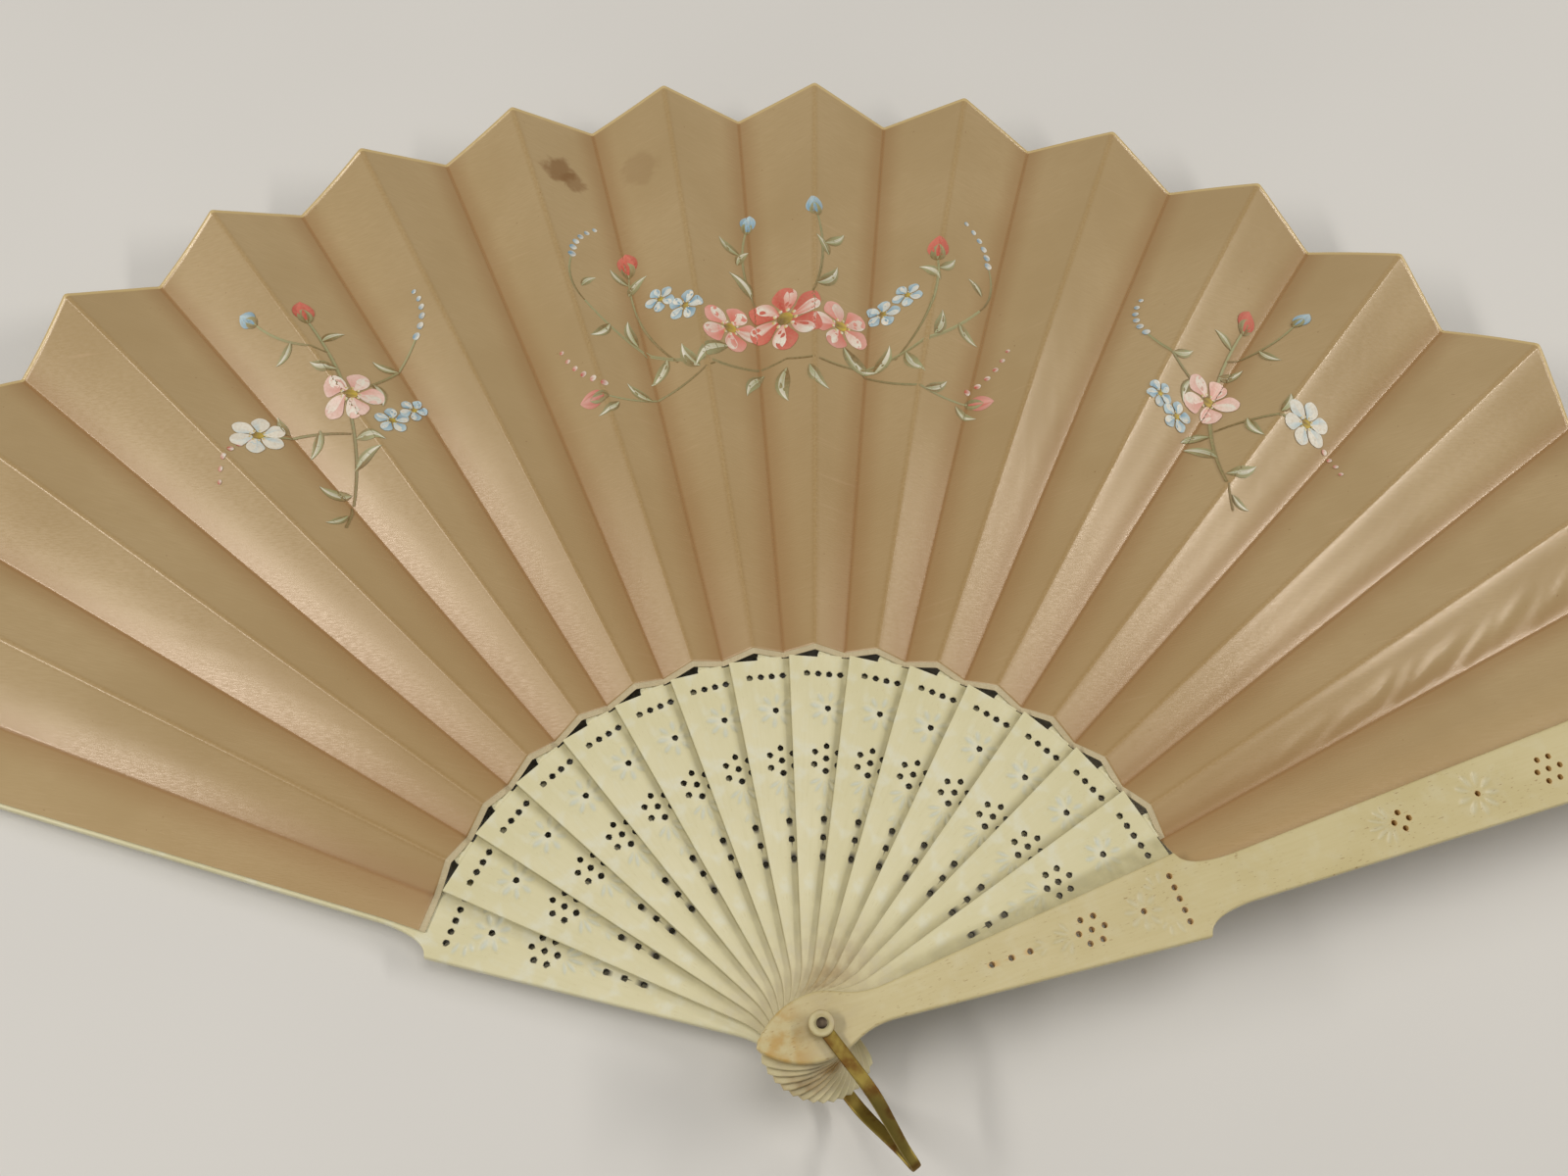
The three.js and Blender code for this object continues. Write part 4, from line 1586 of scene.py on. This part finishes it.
    def build(self, panels: list[LeafPanel], finish: Material) -> dict[int, Piece]:
        """Lays the sprays and shares their marks out to the panels they lie on.

        Args:
            panels: the leaf's panels, in order from the rear guard.
            finish: the paint.

        Returns:
            The painted piece of each panel that has one, by the panel's number.
        """
        self.garland()
        self.settle(0, 0.0, 193.0, 0.0)
        for m in (-1, 1):
            first = len(self.grids)
            self.sprig(m)
            self.settle(first, m * 36.0, 205.0, m * -22.0)
        plan = np.stack(self.grids)
        tints = np.stack(self.tints)
        count = self.rows * self.cols
        index = np.arange(len(plan) * count).reshape(len(plan), self.rows, self.cols)
        quads = grid_quads(index)
        plan, tints = plan.reshape(-1, 2), tints.reshape(-1, 4)
        lift = 0.035 + 0.0004 * (np.arange(len(plan)) // count)
        z = self.sizes
        turn = np.degrees(np.arctan2(plan[:, 0], plan[:, 1]))
        cell = (turn - z.azimuth(0) + z.fold) / (2 * z.fold)
        r = np.hypot(plan[:, 0], plan[:, 1])
        owner = np.floor(cell[quads].mean(axis=1)).astype(int)
        return {int(n): self.panel_marks(panels[n], quads[owner == n], cell - n, r, lift, tints, finish)
                for n in np.unique(owner)}

    def panel_marks(self, panel: LeafPanel, quads: Array, across: Array, r: Array, lift: Array, tints: Array,
                    finish: Material) -> Piece:
        """Makes the marks of one panel, just in front of its cloth.

        Args:
            panel: the panel that they lie on.
            quads: their faces.
            across: each point's share of the panel's width.
            r: each point's radius.
            lift: each point's height above the cloth.
            tints: each point's colour.
            finish: the paint.

        Returns:
            The marks' object.
        """
        used, local = np.unique(quads, return_inverse=True)
        u = np.clip(across[used], 0.0, 1.0)
        z = self.sizes
        high = 1.0 - u if panel.kind is not PanelKind.FREE else u
        start, end = z.low_edge + (z.high_edge - z.low_edge) * high, z.notch + (z.rim - z.notch) * high
        v = (r[used] - start) / (end - start)
        place = panel.point(u, v) + panel.normal(u, v) * (z.cloth / 2 + lift[used])[:, None]
        faces = local.reshape(-1, 4)
        flat = panel.placed(place)
        a, b, c = (flat[faces[:, k]] for k in range(3))
        down = np.cross(b - a, c - a)[:, 2] < 0
        faces[down] = faces[down][:, ::-1]
        mesh = write_mesh("painted_" + panel.name, flat, faces, 80.0)
        layer = mesh.color_attributes.new("paint", "FLOAT_COLOR", "POINT")
        layer.data.foreach_set("color", np.clip(tints[used], 0.0, 1.0).astype(np.float32).ravel())
        return add_piece(mesh, [finish], panel.body, None)


@dataclass
class Leaf:
    """The pleated satin leaf, panel by panel, and the sprays painted on it."""

    sizes: FanSizes

    def panels(self) -> list[LeafPanel]:
        """The panels from the rear guard to the front guard, glued and free in turn.

        Returns:
            The panels, in order.
        """
        made = []
        for i in range(self.sizes.spaces + 1):
            kind = {0: PanelKind.REAR, self.sizes.spaces: PanelKind.FRONT}.get(i, PanelKind.GLUED)
            made.append(LeafPanel(self.sizes, kind, i))
            if i < self.sizes.spaces:
                made.append(LeafPanel(self.sizes, PanelKind.FREE, i))
        return made

    def build(self, satin: Material, lining: Material, paint: Material) -> None:
        """Makes every panel, then the painting.

        Args:
            satin: the front's finish.
            lining: the back's finish.
            paint: the painting's finish.
        """
        panels = self.panels()
        pieces = [panel.build(satin, lining) for panel in panels]
        painted = Painting(self.sizes).build(panels, paint)
        for number, (panel, piece) in enumerate(zip(panels, pieces)):
            panel.declare(piece, [painted[number]] if number in painted else [])


@dataclass
class Rivet:
    """The rivet's pin and the two bone washers under its heads."""

    washer_r: float = 2.9
    pin_r: float = 1.05
    head_r: float = 1.2
    rear_washer: float = 0.55
    front_washer: float = 27.25
    washer_t: float = 1.1
    top: float = 28.9
    dome: float = 0.3
    collar: float = 0.5
    soft: float = 0.42

    def lathe(self, name: str, profile: Array, sides: int = 64) -> Mesh:
        """A profile of radius and height carried once round the rivet.

        Args:
            name: the mesh's name.
            profile: rows of radius and height.
            sides: the points in a ring.

        Returns:
            The turned mesh.
        """
        turn = np.linspace(0.0, 2 * np.pi, sides + 1)[:-1]
        r, z = profile[:, :1], profile[:, 1:]
        z = np.broadcast_to(z, (len(profile), sides))
        rings = np.stack([r * np.sin(turn), r * np.cos(turn), z], axis=-1)
        mesh = write_mesh(name, rings.reshape(-1, 3), tube_quads(len(profile), sides))
        close_up(mesh)
        shade(mesh, 40.0)
        return mesh

    def washer(self, name: str, low: float) -> Mesh:
        """A turned ring with a rounded outer edge and a shallow dish round the pin.

        Args:
            name: the mesh's name.
            low: the height of its lower face.

        Returns:
            The washer's mesh.
        """
        high, soft = low + self.washer_t, self.soft
        t = np.linspace(0.0, np.pi / 2, 9)
        outer = np.stack([self.washer_r - soft + soft * np.cos(t), high - soft + soft * np.sin(t)], axis=-1)
        dish = np.array([[2.05, high], [1.75, high - 0.06], [1.5, high - 0.16], [BORE, high - 0.2]])
        foot = np.array([[BORE, low], [self.washer_r - 0.12, low], [self.washer_r, low + 0.12]])
        mesh = self.lathe(name, np.concatenate([foot, outer, dish, foot[:1]]))
        p = points_of(mesh)
        store_uv(mesh, "grain", np.stack([p[:, 0], p[:, 1] + p[:, 2]], axis=-1))
        reach = np.hypot(p[:, 0], p[:, 1])
        for key, values in (("carve", 0.0), ("hole", 0.0), ("head", 0.3), ("tone", 1.0)):
            store(mesh, key, np.array(values))
        store(mesh, "grime", 0.5 + 0.1 * (1.0 - smooth(reach, 1.2, 2.0)) + 0.3 * smooth(reach, 2.6, 2.9))
        return mesh

    def pin(self) -> Mesh:
        """The pin with a low dome at either end.

        Returns:
            The pin's mesh.
        """
        t = np.linspace(0.0, np.pi / 2, 7)
        dome = np.stack([self.head_r * np.cos(t), self.dome * np.sin(t)], axis=-1)
        low = np.stack([dome[::-1, 0], self.dome - dome[::-1, 1]], axis=-1)
        high = np.stack([dome[:, 0], self.top - self.dome + dome[:, 1]], axis=-1)
        under = self.top - self.collar
        shaft = np.array([[self.head_r, self.collar], [self.pin_r, self.collar], [self.pin_r, under],
                          [self.head_r, under]])
        return self.lathe("rivet_pin_turned", np.concatenate([low, shaft, high]), 40)

    def build(self, bone: Material, steel: Material) -> None:
        """Makes the pin and both washers.

        Args:
            bone: the washers' finish.
            steel: the pin's finish.
        """
        add_piece(self.pin(), [steel], "rear_guard", "rivet_pin")
        for name, low in (("front_washer", self.front_washer), ("rear_washer", self.rear_washer)):
            add_piece(self.washer(name + "_turned", low), [bone], "rear_guard", name)


@dataclass
class HangingLoop:
    """The brass strap that swings on the rivet, bent round the heads to a narrow end."""

    azimuth: float = 144.0
    width: float = 3.0
    thick: float = 1.0
    eye_r: float = 2.6
    low: float = 2.2
    high: float = 26.7
    reach: float = 36.0
    end_share: float = 0.76

    def path(self) -> Array:
        """The strap's middle line as radius and height, from the front eye round the end to the rear eye.

        Returns:
            Rows of radius and height.
        """
        middle, half = (self.high + self.low) / 2, (self.high - self.low) / 2
        bend = np.array([[0, 1], [7, 1], [14, 1], [17.5, 0.97], [20.5, 0.84], [24.5, 0.58],
                         [self.reach - 8, 0.36], [self.reach - 5.5, 0.21], [self.reach - 3.5, 0.15],
                         [self.reach - 1.5, 0.12], [self.reach - self.thick / 2, 0.0]])
        both = np.concatenate([bend, (bend * [1, -1])[-2::-1]])
        knots = np.concatenate([[0.0], np.cumsum(np.linalg.norm(np.diff(both * [1, half], axis=0), axis=1))])
        t = np.linspace(0.0, knots[-1], 190)
        out, up = (np.interp(t, knots, both[:, k]) for k in range(2))
        line = np.stack([out, middle + half * up], axis=-1)
        for _ in range(14):
            line[1:-1] = 0.25 * line[:-2] + 0.5 * line[1:-1] + 0.25 * line[2:]
        return line

    def strap(self) -> Mesh:
        """A rounded strap section carried along the path, which widens to a round eye at each end.

        Returns:
            The strap along Y, before its eyes are bored.
        """
        line = self.path()
        along = np.gradient(line, axis=0)
        along /= np.linalg.norm(along, axis=1, keepdims=True)
        out = np.stack([-along[:, 1], along[:, 0]], axis=-1)
        ring = np.linspace(0.0, 2 * np.pi, 25)[:-1]
        wide, deep = squared(np.cos(ring), 0.45), squared(np.sin(ring), 0.45)
        half = self.width / 2 * (1.0 - (1.0 - self.end_share) * smooth(line[:, 0], 18.0, self.reach - 2.0))
        eye = np.sqrt(np.clip(self.eye_r**2 - np.minimum(line[:, 0], self.eye_r) ** 2, 0.0, None))
        half = np.maximum(half, eye)
        x = half[:, None] * wide
        y = line[:, :1] + out[:, :1] * deep * self.thick / 2
        z = line[:, 1:] + out[:, 1:] * deep * self.thick / 2
        rings = np.stack([x, y, z], axis=-1)
        steps = self.eye_r * np.sin(np.linspace(0.08, 1.0, 10) * np.pi / 2)
        shrink = np.maximum(np.sqrt(np.maximum(self.eye_r**2 - steps**2, 0.0)) / self.eye_r, 0.02)
        cap, tail = (np.stack([end * [k, 1, 1] - [0, d, 0] for d, k in zip(steps, shrink)])
                     for end in (rings[0], rings[-1]))
        return skinned("strap", np.concatenate([cap[::-1], rings, tail]))

    def build(self, brass: Material) -> None:
        """Bores the strap's eyes for the pin and turns it to where it hangs.

        Args:
            brass: the strap's finish.
        """
        span = (self.low + self.high) / 2, 60.0
        done = bored("hanging_loop_strap", self.strap(), np.array([(0.0, 0.0, BORE)]), span, 32)
        done.transform(Matrix.Rotation(-math.radians(self.azimuth), 4, "Z"))
        shade(done, 40.0)
        add_piece(done, [brass], "loop", "hanging_loop")


@dataclass(frozen=True)
class Lamp:
    """A soft oval lamp: where it stands in metres, its width and height, and its watts."""

    name: str
    place: tuple[float, float, float]
    size: tuple[float, float]
    power: float

    def build(self, target: Vector, tint: tuple[float, float, float]) -> None:
        """Sets the lamp up, turned to its target.

        Args:
            target: the place that it lights, in metres.
            tint: its colour.
        """
        data = bpy.data.lights.new(self.name, "AREA")
        data.shape, data.energy, data.color = "ELLIPSE", self.power, tint
        data.size, data.size_y = self.size
        holder = put(self.name, data)
        holder.location = self.place
        holder.rotation_euler = (target - Vector(self.place)).to_track_quat("-Z", "Y").to_euler()


@dataclass
class Studio:
    """Pale floor, soft lamps and the camera at the photograph's viewpoint."""

    eye: tuple[float, float, float] = (-35.89, -63.19, 361.31)
    look: tuple[float, float, float] = (0.08378, 0.44864, -0.88978)
    up: tuple[float, float, float] = (-0.0037, 0.89305, 0.44994)
    lens: float = 34.975
    floor_half: float = 4000.0
    world_tint: Colour = (1.0, 0.98, 0.95, 1.0)
    world_strength: float = 0.235
    lamp_tint: tuple[float, float, float] = (1.0, 0.965, 0.91)
    aim: tuple[float, float, float] = (0.0, 0.14, 0.01)
    lamps: tuple[Lamp, ...] = (
        Lamp("left_lamp", (-1.0, -0.02, 0.9), (1.0, 0.14), 7.8),
        Lamp("right_lamp", (0.96, 0.2, 0.73), (0.8, 0.1), 4.4),
        Lamp("top_lamp", (0.1, 0.2, 1.35), (0.7, 0.7), 3.5),
    )

    def floor(self, level: float) -> None:
        """A wide pale plane under the fan, faintly mottled.

        Args:
            level: the plane's height in millimetres.
        """
        line = np.linspace(-self.floor_half, self.floor_half, 9)
        x, y = np.meshgrid(line, line)
        points = np.stack([x, y, np.full_like(x, level)], axis=-1).reshape(-1, 3)
        mesh = write_mesh("floor", points, grid_quads(np.arange(x.size).reshape(x.shape)))
        s = Shader("pale_floor")
        cloud = s.noise(s.place(), 3.0, 3.0)
        s.dress({"Base Color": s.mix(s.step(cloud, 0.3, 0.7), srgb(226, 224, 220), srgb(220, 218, 214)),
                 "Roughness": 0.85, "Specular IOR Level": 0.2})
        mesh.materials.append(s.material)
        plane = put("floor", mesh)
        plane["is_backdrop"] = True

    def light(self) -> None:
        """Soft lamps at both sides and above, and an even pale world."""
        for lamp in self.lamps:
            lamp.build(Vector(self.aim), self.lamp_tint)
        world = bpy.data.worlds.new("studio_world")
        world.use_nodes = True
        sky = world.node_tree.nodes["Background"].inputs
        sky["Color"].default_value, sky["Strength"].default_value = self.world_tint, self.world_strength
        bpy.context.scene.world = world

    def camera(self) -> None:
        """The camera at the photograph's viewpoint."""
        data = bpy.data.cameras.new("camera")
        data.lens, data.sensor_width, data.clip_start = self.lens, 36.0, 0.005
        holder = put("camera", data)
        look, up = Vector(self.look).normalized(), Vector(self.up)
        right = look.cross(up).normalized()
        turn = Matrix((right, right.cross(look), -look)).transposed().to_4x4()
        holder.matrix_world = Matrix.Translation(Vector(self.eye) * MM) @ turn
        bpy.context.scene.camera = holder

    def build(self, level: float) -> None:
        """Sets the whole stage on the given floor level.

        Args:
            level: the floor's height in millimetres.
        """
        self.floor(level)
        self.light()
        self.camera()
        bpy.context.scene.view_settings.view_transform = "Standard"


def main() -> None:
    """Builds the fan's pieces in order, then the stage."""
    logging.basicConfig(level=logging.INFO, format="%(name)s: %(message)s")
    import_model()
    sizes = FanSizes()
    stick_bone = BoneFinish("cream_bone", srgb(226, 219, 182), srgb(211, 203, 157), srgb(176, 150, 96), 0.25,
                            srgb(200, 172, 104), 0.45).build()
    guard_bone = BoneFinish("yellowed_bone", srgb(209, 196, 150), srgb(195, 179, 126), srgb(140, 100, 48),
                            0.75, srgb(190, 150, 68), 0.95, srgb(206, 172, 112), 0.22, 0.1).build()
    brass = MetalFinish("aged_brass", srgb(150, 132, 68), srgb(118, 84, 42), 0.45, (0.42, 0.6)).build()
    steel = MetalFinish("dark_pin", srgb(96, 84, 70), srgb(54, 44, 34), 0.45, (0.35, 0.6)).build()
    Sticks(sizes).build(stick_bone)
    Guards(sizes).build(stick_bone, guard_bone)
    Leaf(sizes).build(SatinFinish().build(), LiningFinish().build(), PaintFinish().build())
    Rivet().build(stick_bone, steel)
    HangingLoop().build(brass)
    shown_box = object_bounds()
    Studio().build(shown_box[0].z / MM)


if __name__ == "__main__":
    main()
